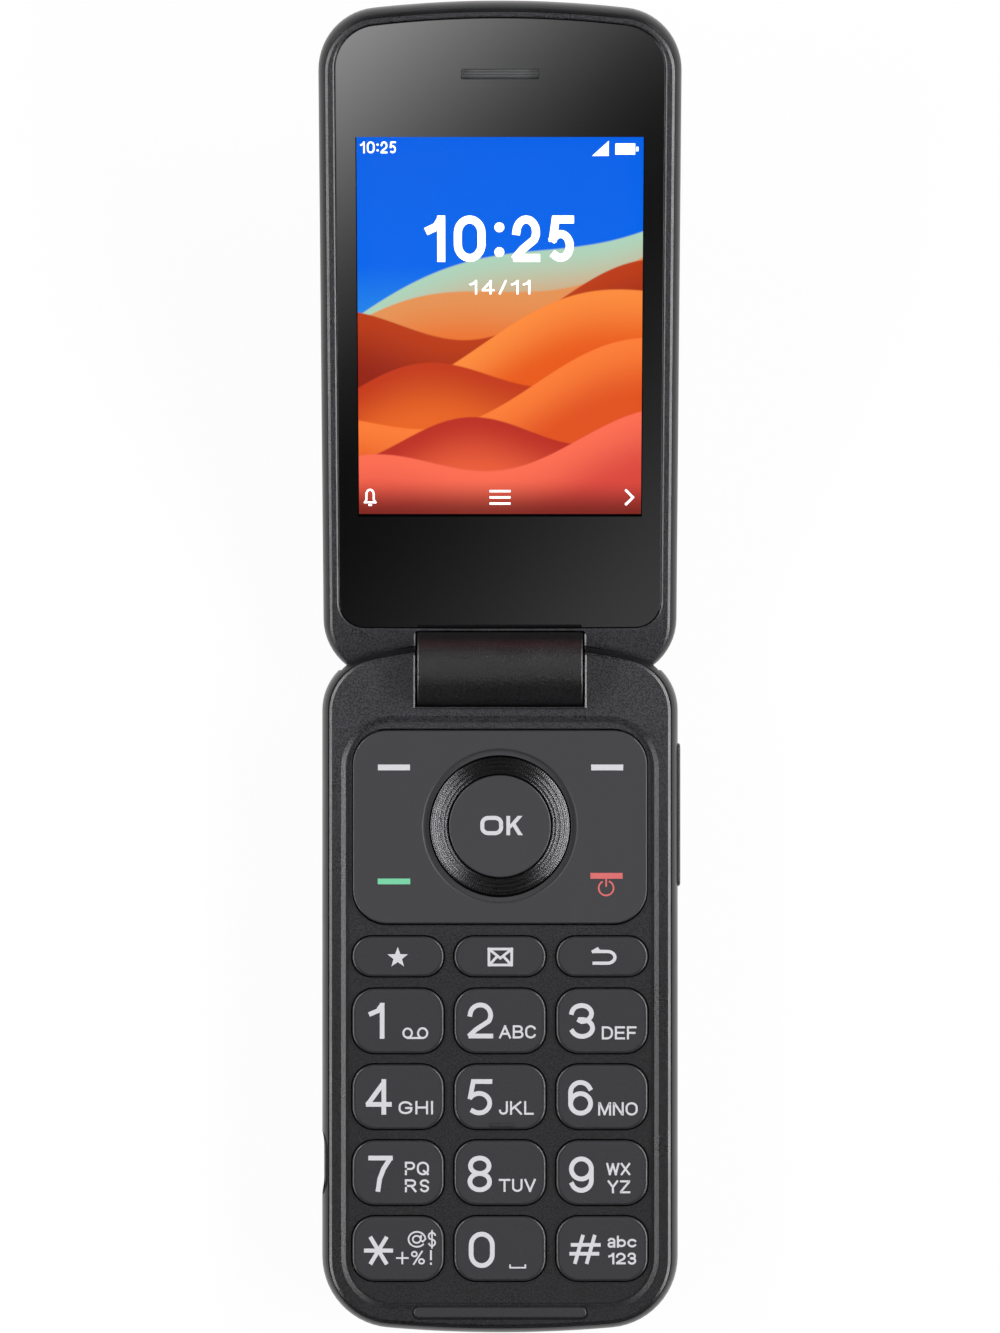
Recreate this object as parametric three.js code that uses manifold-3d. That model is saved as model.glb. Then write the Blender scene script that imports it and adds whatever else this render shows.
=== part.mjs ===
// A clamshell phone that lies open on its back. Millimetres: X to the right, Y towards the
// lid, Z up. The origin is the middle of the flat back of the base. The lid is drawn flat,
// from the hinge axis along its own Y, and then tilted up about that axis.
import * as THREE from "three";
import { mergeVertices } from "three/addons/utils/BufferGeometryUtils.js";
import Module from "manifold-3d";

const wasm = await Module();
wasm.setup();
const rad = THREE.MathUtils.degToRad;

// Fits shared by the whole phone
const hairGap = 0.1; // between pieces that lie against each other
const lidGap = 0.2; // between stacked pieces of the tilted lid
const cutRun = 3; // how far a cutter runs past what it cuts
const runGap = 0.27; // round what turns with the hinge
const keyGap = 0.22; // round each key
const samePlace = 0.001; // points closer than this are one

// Facets of the round forms
const cornerSteps = 6;
const archSteps = 6;
const smallCornerSteps = 4;
const roundSides = 32;
const smallSides = 14;

// The closed clamshell and its hinge. Most lengths below hang on these three.
const phoneHalf = 27.5;
const phoneTop = 54.2; // crest of the base's hinge end, which the barrel's notch cuts into
const phoneChin = -52.87;
const partingHeight = 10.5; // parting plane above the back
const faceGap = 0.15; // each rim stops this far short of the parting plane
const axisDrop = 2.2; // hinge axis below the parting plane
const axisInset = 4.65; // hinge axis before the crest
const axisY = phoneTop - axisInset;
const lidTiltDegrees = 15;
const baseTop = partingHeight - faceGap;
const axisZ = partingHeight - axisDrop;
const lidFace = -axisDrop - faceGap; // in the lid's own frame, zero is the axis
const lidThickness = 8.4;
const lidBack = lidFace - lidThickness;
const lidOverhang = 0.18; // the closed lid reaches past the chin
const lidTop = axisY - phoneChin + lidOverhang;

// Outlines: half width, reach of each arched end, corner radii and arch slopes in degrees
const seamInset = 1.4;
const seamTopInset = 1;
const seamChinInset = 1.37;
const lidSideInset = 0.13;
const lidSeamTopInset = 1.2;
const lensTopInset = 2.6;
const lidSeamInset = 1.27;
const lensInset = 1.3;
const baseOutline = {
  half: phoneHalf, top: phoneTop, bottom: phoneChin,
  topCorner: 8.8, bottomCorner: 11.1, topArch: 12.5, bottomArch: 3,
};
const frontOutline = {
  half: phoneHalf - seamInset, top: phoneTop - seamTopInset, bottom: phoneChin + seamChinInset,
  topCorner: 8.1, bottomCorner: 9.7, topArch: 12.5, bottomArch: 3,
};
const lidOutline = {
  half: phoneHalf - lidSideInset, top: lidTop, bottom: -3,
  topCorner: 9, bottomCorner: 9.45, topArch: 4.6, bottomArch: 1,
};
const frameOutline = {
  half: lidOutline.half - lidSeamInset, top: lidTop - lidSeamTopInset, bottom: -1.75,
  topCorner: 7.8, bottomCorner: 8.2, topArch: 4.6, bottomArch: 1,
};
const lensOutline = {
  half: frameOutline.half - lensInset, top: lidTop - lensTopInset, bottom: 6.32,
  topCorner: 6.5, bottomCorner: 4, topArch: 6.7, bottomArch: 0.5,
};

// Side curves of both halves: a deep belly towards the back, a brow towards the face
const baseBellyHeight = 5;
const baseBellyInset = 3.2;
const baseBrowStart = 5.4;
const baseBrowHeight = 3.8;
const browInset = 1;
const lidBellyHeight = 3.6;
const lidBellyInset = 3;
const lidBrowHeight = 2.8;
const lidBrowEnd = -3.5;
const rimChamfer = 0.28;
const curveSteps = 4;

// Base front housing
const rimTop = baseTop;
const deckTop = 9.65;
const deckBottom = 8.85;
const skirtBottom = 7.3;
const skirtWall = 1.15;
const recessInset = 1.8;
const recessTopDrop = 7.13; // measures from the hinge axis are drops, from the chin rises
const recessChinRise = 4.87;
const recessHalf = frontOutline.half - recessInset;
const recessTopY = axisY - recessTopDrop;
const recessBottomY = phoneChin + recessChinRise;
const recessSlope = 0.7;
const recessChinSlope = 2.4;
const recessCorner = 7.6;
const hollowDrop = 7.35;
const hollowEndY = axisY - hollowDrop; // inside, the hollow of the base stops here

// Hinge barrel and its notch
const barrelRadius = 5.8;
const barrelHalf = 12.7;
const barrelChamfer = 0.3;
const notchRadius = barrelRadius + 0.3;
const notchHalf = 13.08;
const pinRadius = 1.25;
const pinBore = pinRadius + hairGap;
const pinEnd = 17.4;
const pocketEnd = pinEnd + lidGap;
const shaftInnerEnd = 2.6;
const springBore = 3.2;
const springBoreEnd = 2.1;
const backEndRound = 4;
const shoulderEnd_share = 0.9;

// Base rear housing and battery cover
const sideTop = baseBrowStart + baseBrowHeight;
const coverWall = 1;
const coverRim = 2.7;
const coverGap = 0.15;
const coverDrop = 6.05;
const coverEndY = axisY - coverDrop;
const floorTop = 2.05;
const wallAtFloor = 2.8;
const wallAbove = 1.8;
const wallBendZ = 3.8;
const bayWall = 0.8;
const bayCeiling = 5.6;
const bayRoof = 6.2;
const batteryInset = 7.5;
const batteryRise = 33.87;
const batteryDrop = 16.55;
const batteryWidth = 2 * (phoneHalf - batteryInset);
const batteryChinY = phoneChin + batteryRise;
const batteryEndY = axisY - batteryDrop;
const batteryLength = batteryEndY - batteryChinY;
const batteryThickness = 4.2;
const batteryCorner = 1.5;
const batteryY = (batteryChinY + batteryEndY) / 2;
const batteryBottom = coverWall + lidGap;
const nailNotchWidth = 9;
const nailNotchFromChin = 14.87;
const nailNotchY = phoneChin + nailNotchFromChin;
const nailNotchRise = 0.9;

// Boards and keypad stack
const boardBottom = 6.3;
const boardTop = 7.1;
const boardInset = 3.1;
const boardDrop = 8.15;
const boardRise = 3.87;
const boardHalf = phoneHalf - boardInset;
const boardEndY = axisY - boardDrop;
const boardChinY = phoneChin + boardRise;
const domeSheetBottom = boardTop + hairGap;
const domeSheetTop = 7.35;
const domeRise = 0.2;
const domeRadius = 2;
const matBottom = 7.65;
const matTop = 7.85;
const padTop = 8;
const padHalfX = 3;
const padHalfY = 2.2;
const padHalfFunction = 1.8;
const matInset = 4;
const matDrop = 8.55;
const matRise = 6.87;
const matHalf = phoneHalf - matInset;
const matEndY = axisY - matDrop;
const matChinY = phoneChin + matRise;
const domeTopRadius_share = 0.5;
const domeSides = 8;

// Keys
const keyBottom = 8.35;
const keyTop = 10.2;
const keypadInset = 1.585;
const keySpacingX = 1.64;
const keySpacingY = 1.75;
const keyColumns = 3;
const keyRows = 4;
const keypadHalf = recessHalf - keypadInset;
const keyPitchX = (2 * keypadHalf + keySpacingX) / keyColumns;
const keyWidth = keyPitchX - keySpacingX;
const navDrop = 24.05;
const functionDrop = 44.07;
const functionHeight = 6.13;
const functionCorner = 3;
const functionSpacing = 1.9;
const keysRise = 8.415;
const navY = axisY - navDrop;
const functionY = axisY - functionDrop;
const keysTopY = functionY - functionHeight / 2 - functionSpacing;
const keyPitchY = (keysTopY - phoneChin - keysRise + keySpacingY) / keyRows;
const keyHeight = keyPitchY - keySpacingY;
const keyFirstY = keysTopY - keyHeight / 2;
const keyCorner_share = 0.3454;
const keyCorner = keyHeight * keyCorner_share;
const crownRise = 0.32;
const crownInset = 0.75;
const crownSteps = 2;

// Navigation block
const panelInset = 1.65;
const panelWidth = 2 * (recessHalf - panelInset);
const panelHeight = 30.3;
const panelCorner = 5.26;
const panelBottom = 8.75;
const panelTop = 10.2;
const panelEdge = 0.15;
const panelHole = 10.95;
const dishRadius = 11.92;
const dishFloorRadius = 11.2;
const dishDepth = 0.6;
const ringOuter = 10.73;
const ringInner = 8.05;
const ringTop = 10.25;
const ringEdge = 0.3;
const ringDip = 0.25;
const okRadius = 7.8;
const okBottom = 8.85;
const okEdge = 0.25;
const okDish = 0.1;
const webBottom = 8.05;
const webTop = 8.3;
const webSides = 24;
const panelWebInner = 11.3;
const panelWebOuter = 13.2;
const ringWebInner = 8.3;
const ringWebOuter = 10.3;

// Chin bumper
const bumperHalf = 13.41;
const bumperTopRise = 4.59;
const bumperRise = 2.6;
const bumperTopY = phoneChin + bumperTopRise;
const bumperBottomY = phoneChin + bumperRise;
const bumperDepth = 0.9;
const bumperCorner = 0.9;

// Volume rocker and its switch board
const rockerRise = 1.67; // past the middle of the navigation block
const rockerY = navY + rockerRise;
const rockerLength = 22.15;
const rockerZ = 5.4;
const rockerHeight = 2.8;
const rockerProud = 0.37;
const rockerDepth = 2;
const rockerOut = phoneHalf + rockerProud;
const rockerIn = phoneHalf - rockerDepth;
const rockerFlange = 0.6;
const rockerFlangeDepth = 0.6;
const rockerRound = 0.35;
const rockerGap = 0.2;
const switchBoardInset = 3;
const switchBoardThickness = 0.6;
const switchBoardOut = phoneHalf - switchBoardInset;
const switchBoardIn = switchBoardOut - switchBoardThickness;
const switchBoardLength = 20;
const switchBoardBottom = 3;

// USB socket
const usbRise = 26.32;
const usbY = phoneChin + usbRise;
const usbWidth = 8.94;
const usbHeight = 3.15;
const usbInset = 0.5;
const usbOut = phoneHalf - usbInset;
const usbDepth = 7;
const usbShell = 0.32;
const usbBack = 1.2;
const usbTongueWidth = 6.6;
const usbTongueThick = 0.7;
const usbTongueReach = 4.6;
const usbCorner = 1.2;
const usbTop = boardBottom - hairGap;
const usbGap = 0.15;

// Screws of the base
const screwHeadRadius = 1.3;
const screwHeadHeight = 0.65;
const screwRadius = 0.6;
const screwHole = 0.72;
const screwTopInset = 7.3;
const screwTopDrop = 9.75;
const screwChinInset = 7.7;
const screwChinRise = 9.37;
const screwTopX = phoneHalf - screwTopInset;
const screwTopY = axisY - screwTopDrop;
const screwChinX = phoneHalf - screwChinInset;
const screwChinY = phoneChin + screwChinRise;
const screwEndZ = 7;
const bossRadius = 1.6;
const rearBossRadius = 2.2;
const rearBossTop = 3.1;
const headRecess = 0.85;
const headClear = 0.15;
const bossClear = 0.3;
const driveWidth = 0.35;
const driveLength = 1.5;
const driveDepth = 0.3;

// Parts on the underside of the board and beside it
const shieldWidth_share = 0.29; // shares of the base's half width
const shieldX_share = 0.4545;
const simWidth_share = 0.545;
const simX_share = 0.018;
const motorX_share = 0.509;
const motorRadius_share = 0.145;
const speakerWidth_share = 0.509;
const speakerX_share = 0.327;
const shieldRise = 21.07;
const simRise = 22.37;
const motorRise = 19.87;
const microphoneRise = 10.37;
const antennaRise = 5.17;
const connectorDrop = 14.55;
const speakerDrop = 11.05;
const shieldSize = {
  width: phoneHalf * shieldWidth_share, length: 18, height: 2.6,
  x: -phoneHalf * shieldX_share, y: phoneChin + shieldRise,
};
const simSize = {
  width: phoneHalf * simWidth_share, length: 15, height: 1.5,
  x: -phoneHalf * simX_share, y: phoneChin + simRise,
};
const simWall = 1.3;
const simSlot = { width: simSize.width - 2 * simWall, height: 0.8, depth: 13.2 };
const motorSize = {
  radius: phoneHalf * motorRadius_share, height: 2.8,
  x: phoneHalf * motorX_share, y: phoneChin + motorRise,
};
const microphoneSize = { width: 3.8, length: 3, height: 1.1, x: 9, y: phoneChin + microphoneRise };
const antennaSize = { width: 26, length: 3.4, height: 3.9, x: 0, y: phoneChin + antennaRise };
const connectorSize = { width: 10, length: 3, height: 4.7, x: 7, y: axisY - connectorDrop };
const connectorBlade = { width: 1, depth: 0.5, pitch: 2.4, height: 3 };
const connectorBlades = 3;
const speakerSize = {
  width: phoneHalf * speakerWidth_share, length: 6.8, height: 3.9,
  x: -phoneHalf * speakerX_share, y: axisY - speakerDrop,
};
const speakerRim = 1.5;
const speakerPort = {
  width: speakerSize.width - 2 * speakerRim, length: speakerSize.length - 2 * speakerRim,
};
const speakerSlotCount = 5;
const speakerSlotWidth = 0.9;

// Lid: stack under its face
const lensDrop = 0.08; // lens below the rim
const lensThickness = 1;
const lensEdge = 0.15;
const ledgeDrop = 1.3; // lens ledge below the rim
const frameWeb = 2.25; // frame plate, rim to its inner side
const frameSkirt = 3.05;
const frameSkirtWall = 1.2;
const displayInset = 2.5;
const displayWidth = 2 * (frameOutline.half - displayInset);
const displayStart = 17.5;
const displayEndInset = 19.1;
const displayEnd = lidTop - displayEndInset;
const displayLength = displayEnd - displayStart;
const displayThickness = 2.2;
const displayY = (displayStart + displayEnd) / 2;
const displayDrop = 1.4;
const displayTop = lidFace - displayDrop;
const displayCorner = 0.8;
const earInset = 10.72;
const earY = lidTop - earInset;
const earSlotWidth = 11.5;
const earSlotHeight = 1.4;
const earMeshThickness = 0.3;
const earMeshMargin = 0.4;
const earHoles = 11;
const earHoleWidth = 0.45;
const earHoleHeight = 0.4;
const earWidth = 13;
const earHeight = 6.5;
const earThickness = 2.1;
const coverBack = 1.2; // rear cover, wall over its back
const cavityStartY = 9;
const cavityInset = 1.5;
const cavityFloorInset = 3.3;
const cavityBendW = -7;
const outerLensWidth = 36;
const outerLensHeight = 45;
const outerLensCorner = 5;
const outerLensInset = 28.1;
const outerLensY = lidTop - outerLensInset;
const outerLensThickness = 0.72;
const outerPocketDepth = 0.85;
const outerDisplayWidth = 28;
const outerDisplayHeight = 30;
const outerDisplayThickness = 1.5;
const outerDisplayOffset = 6;
const outerDisplayY = outerLensY - outerDisplayOffset;
const cameraWidth = 6.5;
const cameraSpacing = 3.75; // from the outer display
const cameraY = outerDisplayY + (outerDisplayHeight + cameraWidth) / 2 + cameraSpacing;
const cameraHeight = 1.9;
const cameraBarrel = 2.2;
const cameraHole = 2.6;
const lidBoardInset = 5.37;
const lidBoardEndInset = 18.6;
const lidBoardHalf = lidOutline.half - lidBoardInset;
const lidBoardStart = 16;
const lidBoardEnd = lidTop - lidBoardEndInset;
const lidBoardTop = -7.1;
const lidBoardThickness = 0.8;
const hingeEndRadius = 2.56;
const hingeEndY = 1.66;
const hingeEndW = -6;
const backSlopeKneeY = 9.5;
const backSlopeEndY = 16;
const hingeEndSweep = 35; // degrees that the end's round runs past level

// Barrel arm, its screws and the flex
const armHalf = 11.5;
const armEndY = 14;
const armStartY = 3;
const armTop = -5.75;
const armBottom = -7.3;
const armRootEndY = 5.1; // the arm is deeper where it leaves the barrel
const armRootTop = -4.2;
const armGap = 0.3;
const lidScrewX = 8.5;
const lidScrewY = 11;
const lidHeadDrop = 1.45;
const lidHeadRecess = 2.15; // recess floor below the rim
const lidHeadTop = lidFace - lidHeadDrop;
const lidScrewEnd = -9.3;
const frameBossEnd = -5.6;
const coverBossTop = -7.5;
const flexRadius = 0.35;
const flexBore = 0.65;
const pinHollow = 0.8;
const flexCourse = [ // the flex from the end of the pin to the lid board
  [pinEnd, 0, 0], [13, 0, 0], [9, 0, 0], [7, 0.6, -0.75], [6.2, 2.2, -2.7], [6.2, 4.2, -5.2],
  [6.2, 5.6, -6.2], [6.2, 8, -6.35], [6.2, 12, -6.35], [6.2, 14.5, -6.6], [6.2, 15.8, -7.2],
];

// Hinge spring and cam
const wireRadius = 0.3;
const springRadius = 2.2;
const springTurns = 6;
const springFrom = -10.3;
const springTo = -3;
const stepsPerTurn = 8;
const wireSides = 5;
const flexSides = 6;
const flexSteps = 22;
const camRadius = 3.05;
const camBore = 1.45;
const camFrom = -12.4;
const camTo = -10.9;

// Welds a closed geometry and drops the slivers at its poles
function solid(geometry) {
  geometry.deleteAttribute("normal");
  geometry.deleteAttribute("uv");
  const welded = mergeVertices(geometry);
  const triangles = [];
  for (let i = 0; i < welded.index.count; i += 3) {
    const [a, b, c] = [0, 1, 2].map((k) => welded.index.getX(i + k));
    if (a !== b && b !== c && c !== a) triangles.push(a, b, c);
  }
  return new wasm.Manifold(new wasm.Mesh({
    numProp: 3,
    vertProperties: Float32Array.from(welded.attributes.position.array),
    triVerts: Uint32Array.from(triangles),
  }));
}

// A three.js geometry from a solid
function geometryOf(body) {
  const { vertProperties, triVerts } = body.getMesh();
  const geometry = new THREE.BufferGeometry();
  geometry.setAttribute("position", new THREE.BufferAttribute(vertProperties, 3));
  geometry.setIndex(new THREE.BufferAttribute(triVerts, 1));
  geometry.computeVertexNormals();
  return geometry;
}

function box(x0, x1, y0, y1, z0, z1) {
  const geometry = new THREE.BoxGeometry(x1 - x0, y1 - y0, z1 - z0);
  return solid(geometry.translate((x0 + x1) / 2, (y0 + y1) / 2, (z0 + z1) / 2));
}

// A block of a given size, centred in X and Y
function block({ width, length, x, y }, z0, z1) {
  return box(x - width / 2, x + width / 2, y - length / 2, y + length / 2, z0, z1);
}

// A post along Z, or a cone where the radii differ
function post(x, y, z0, z1, radius, topRadius = radius, sides = smallSides) {
  const geometry = new THREE.CylinderGeometry(topRadius, radius, z1 - z0, sides);
  return solid(geometry.rotateX(Math.PI / 2).translate(x, y, (z0 + z1) / 2));
}

// A rod along X at a place in Y and Z
function rod(x0, x1, y, z, radius, sides = smallSides) {
  const geometry = new THREE.CylinderGeometry(radius, radius, x1 - x0, sides);
  return solid(geometry.rotateZ(-Math.PI / 2).translate((x0 + x1) / 2, y, z));
}

// A body of revolution about Z from points of radius and height
function turned(x, y, points, sides = roundSides) {
  const profile = points.map(([radius, height]) => new THREE.Vector2(radius, height));
  return solid(new THREE.LatheGeometry(profile, sides).rotateX(Math.PI / 2).translate(x, y, 0));
}

function arc(cx, cy, radius, from, to, steps) {
  const points = [];
  for (let i = 0; i <= steps; i += 1) {
    const angle = rad(from + ((to - from) * i) / steps);
    points.push(new THREE.Vector2(cx + radius * Math.cos(angle), cy + radius * Math.sin(angle)));
  }
  return points;
}

// One arched end, from its right side over the crest to its left side
function archedEnd(half, reach, corner, archDegrees) {
  const slope = rad(archDegrees);
  const meetX = half - corner + corner * Math.sin(slope);
  const cornerY = reach - corner * Math.cos(slope) - meetX * Math.tan(slope / 2);
  const crown = meetX / Math.sin(slope);
  const edge = 90 - archDegrees;
  return [
    ...arc(half - corner, cornerY, corner, 0, edge, cornerSteps),
    ...arc(0, reach - crown, crown, edge, 180 - edge, archSteps).slice(1, -1),
    ...arc(corner - half, cornerY, corner, 180 - edge, 180, cornerSteps),
  ];
}

// A casing's outline, drawn in by a parallel inset
function casing(outline, inset = 0) {
  const { half, top, bottom, topCorner, bottomCorner, topArch, bottomArch } = outline;
  const upper = archedEnd(half - inset, top - inset, topCorner - inset, topArch);
  const lower = archedEnd(half - inset, -bottom - inset, bottomCorner - inset, bottomArch);
  return [...upper, ...lower.map((p) => new THREE.Vector2(-p.x, -p.y))];
}

function roundedRect(x0, x1, y0, y1, corner, steps = smallCornerSteps) {
  const points = [
    ...arc(x1 - corner, y1 - corner, corner, 0, 90, steps),
    ...arc(x0 + corner, y1 - corner, corner, 90, 180, steps),
    ...arc(x0 + corner, y0 + corner, corner, 180, 270, steps),
    ...arc(x1 - corner, y0 + corner, corner, 270, 360, steps),
  ];
  return points.filter((p, i) => p.distanceTo(points[(i + 1) % points.length]) > samePlace);
}

// A solid through rings of equally many points, from the lowest ring to the highest
function loft(rings) {
  const count = rings[0].points.length;
  const last = (rings.length - 1) * count;
  const index = [];
  for (let start = 0; start < last; start += count) {
    for (let i = 0; i < count; i += 1) {
      const a = start + i;
      const b = start + ((i + 1) % count);
      index.push(a, b, b + count, a, b + count, a + count);
    }
  }
  const floor = THREE.ShapeUtils.triangulateShape(rings[0].points, []);
  const roof = THREE.ShapeUtils.triangulateShape(rings[rings.length - 1].points, []);
  for (const [a, b, c] of floor) index.push(a, c, b);
  for (const [a, b, c] of roof) index.push(last + a, last + b, last + c);
  const geometry = new THREE.BufferGeometry();
  const position = rings.flatMap(({ z, points }) => points.flatMap((p) => [p.x, p.y, z]));
  geometry.setAttribute("position", new THREE.Float32BufferAttribute(position, 3));
  geometry.setIndex(index);
  return solid(geometry);
}

function prism(points, z0, z1) {
  return loft([{ z: z0, points }, { z: z1, points }]);
}

// A prism along X from points in Y and Z
function sideways(points, x0, x1) {
  const turn = new THREE.Matrix4().makeBasis(
    new THREE.Vector3(0, 1, 0), new THREE.Vector3(0, 0, 1), new THREE.Vector3(1, 0, 0),
  );
  return solid(geometryOf(prism(points, x0, x1)).applyMatrix4(turn));
}

// A tube of a few sides along a path
function cable(points, radius, sides, steps) {
  const path = new THREE.CatmullRomCurve3(points, false, "chordal");
  const section = new THREE.Shape(arc(0, 0, radius, 0, 360, sides).slice(0, sides));
  return solid(new THREE.ExtrudeGeometry(section, { steps, extrudePath: path, bevelEnabled: false }));
}

function union(...bodies) {
  return bodies.reduce((whole, body) => whole.add(body));
}

function cut(body, ...cutters) {
  return cutters.reduce((rest, cutter) => rest.subtract(cutter), body);
}

// Rings of a quarter curve: 0 at the widest place, 1 at its end
function curveRings(outline, steps, place) {
  const rings = [];
  for (let i = 0; i <= steps; i += 1) {
    const turn = (Math.PI / 2) * (i / steps);
    const { z, inset } = place(Math.sin(turn), 1 - Math.cos(turn));
    rings.push({ z, points: casing(outline, inset) });
  }
  return rings;
}

// Outer skin of the base, drawn in all round by an extra inset
function baseSkin(extra = 0) {
  const belly = curveRings(baseOutline, curveSteps, (rise, swing) => ({
    z: baseBellyHeight * (1 - rise), inset: extra + baseBellyInset * swing,
  })).reverse();
  const brow = curveRings(baseOutline, curveSteps, (rise, swing) => ({
    z: baseBrowStart + baseBrowHeight * rise, inset: extra + browInset * swing,
  }));
  return loft([...belly, ...brow]);
}

// Outer skin of the lid, from its back up to the brow
function lidSkin() {
  const belly = curveRings(lidOutline, curveSteps, (rise, swing) => ({
    z: lidBack + lidBellyHeight * (1 - rise), inset: lidBellyInset * swing,
  })).reverse();
  const brow = curveRings(lidOutline, curveSteps, (rise, swing) => ({
    z: lidBrowEnd - lidBrowHeight * (1 - rise), inset: browInset * swing,
  }));
  return loft([...belly, ...brow]);
}

// The shoulders of the base are round about the hinge axis, as far out as the outline
// reaches past it. The lid is scooped out by the same form with a running gap.
function shoulderRound(gap, y, z) {
  const past = casing(baseOutline).filter((p) => p.y > axisY).reverse();
  const last = past[past.length - 1];
  const end = last.x + (last.y - axisY) * shoulderEnd_share;
  const profile = [
    new THREE.Vector2(0, -end - gap),
    ...past.map((p) => new THREE.Vector2(p.y - axisY + gap, p.x)),
    new THREE.Vector2(0, end + gap),
  ];
  const geometry = new THREE.LatheGeometry(profile, roundSides);
  return solid(geometry.rotateZ(-Math.PI / 2).translate(0, y, z));
}

// What the barrel turns in, for either half; open towards the other half
function barrelNotch(y, z, openFrom, openTo) {
  const round = rod(-notchHalf, notchHalf, y, z, notchRadius, roundSides);
  return round.add(box(-notchHalf, notchHalf, openFrom, openTo, z - cutRun, z + barrelRadius * 2));
}

const screwPlaces = [
  [-screwTopX, screwTopY], [screwTopX, screwTopY],
  [-screwChinX, screwChinY], [screwChinX, screwChinY],
];

function bossHoles(radius, z0, z1) {
  return union(...screwPlaces.map(([x, y]) => post(x, y, z0 - cutRun, z1 + cutRun, radius)));
}

// Places of the keys, by name
const keyNames = [
  ["key_1", "key_2", "key_3"], ["key_4", "key_5", "key_6"],
  ["key_7", "key_8", "key_9"], ["key_asterisk", "key_0", "key_hash"],
];
const keys = ["key_star", "key_message", "key_back"].map((name, column) => ({
  name, x: (column - 1) * keyPitchX, y: functionY,
  height: functionHeight, corner: functionCorner, padHalf: padHalfFunction,
}));
keyNames.forEach((row, down) => row.forEach((name, column) => keys.push({
  name, x: (column - 1) * keyPitchX, y: keyFirstY - down * keyPitchY,
  height: keyHeight, corner: keyCorner, padHalf: padHalfY,
})));

function keyOutline({ x, y, height, corner }, grow) {
  const halfX = keyWidth / 2 + grow;
  const halfY = height / 2 + grow;
  return roundedRect(x - halfX, x + halfX, y - halfY, y + halfY, corner + grow);
}

function panelOutline(grow) {
  const halfX = panelWidth / 2 + grow;
  const halfY = panelHeight / 2 + grow;
  return roundedRect(-halfX, halfX, navY - halfY, navY + halfY, panelCorner + grow);
}

function keycap(key) {
  const rings = [{ z: keyBottom, points: keyOutline(key, 0) }];
  for (let i = 0; i <= crownSteps; i += 1) {
    const turn = (Math.PI / 2) * (i / crownSteps);
    rings.push({
      z: keyTop - crownRise * (1 - Math.sin(turn)),
      points: keyOutline(key, -crownInset * (1 - Math.cos(turn))),
    });
  }
  return loft(rings);
}

function bumperOutline(grow) {
  return roundedRect(
    -bumperHalf - grow, bumperHalf + grow, bumperBottomY - grow, bumperTopY + grow,
    bumperCorner + grow,
  );
}

function hingeBores(radius, z) {
  const left = rod(-pocketEnd, -notchHalf + cutRun, axisY, z, radius);
  return left.add(rod(notchHalf - cutRun, pocketEnd, axisY, z, radius));
}

function baseFrontHousing() {
  const far = baseOutline.top;
  const shell = loft([
    { z: skirtBottom, points: casing(frontOutline) },
    { z: rimTop - rimChamfer, points: casing(frontOutline) },
    { z: rimTop, points: casing(frontOutline, rimChamfer) },
  ]);
  const hollow = prism(casing(frontOutline, skirtWall), skirtBottom - cutRun, deckBottom)
    .subtract(box(-far, far, hollowEndY - hairGap, far, 0, rimTop));
  const underShoulders = box(-far, far, hollowEndY, far, 0, deckBottom - hairGap);
  const recess = loft([
    { z: deckTop, points: roundedRect(
      -recessHalf + recessSlope, recessHalf - recessSlope,
      recessBottomY + recessChinSlope, recessTopY - recessSlope, recessCorner - recessSlope,
    ) },
    { z: rimTop, points: roundedRect(-recessHalf, recessHalf, recessBottomY, recessTopY, recessCorner) },
    { z: rimTop + cutRun, points: roundedRect(
      -recessHalf, recessHalf, recessBottomY, recessTopY, recessCorner,
    ) },
  ]);
  const bosses = union(...screwPlaces.map(([x, y]) => (
    post(x, y, rearBossTop + hairGap, deckTop - hairGap, bossRadius)
  )));
  const body = cut(shell, hollow, underShoulders, recess).add(bosses);
  const openings = keys.map((key) => prism(keyOutline(key, keyGap), skirtBottom, rimTop));
  const pilots = union(...screwPlaces.map(([x, y]) => (
    post(x, y, 0, screwEndZ + hairGap, screwHole)
  )));
  return cut(
    body, ...openings, prism(panelOutline(keyGap), skirtBottom, rimTop),
    prism(bumperOutline(hairGap), rimTop - bumperDepth + (rimTop - deckTop) / 2, rimTop + cutRun),
    barrelNotch(axisY, axisZ, axisY, axisY + far), hingeBores(pinBore, axisZ), pilots,
  );
}

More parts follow.
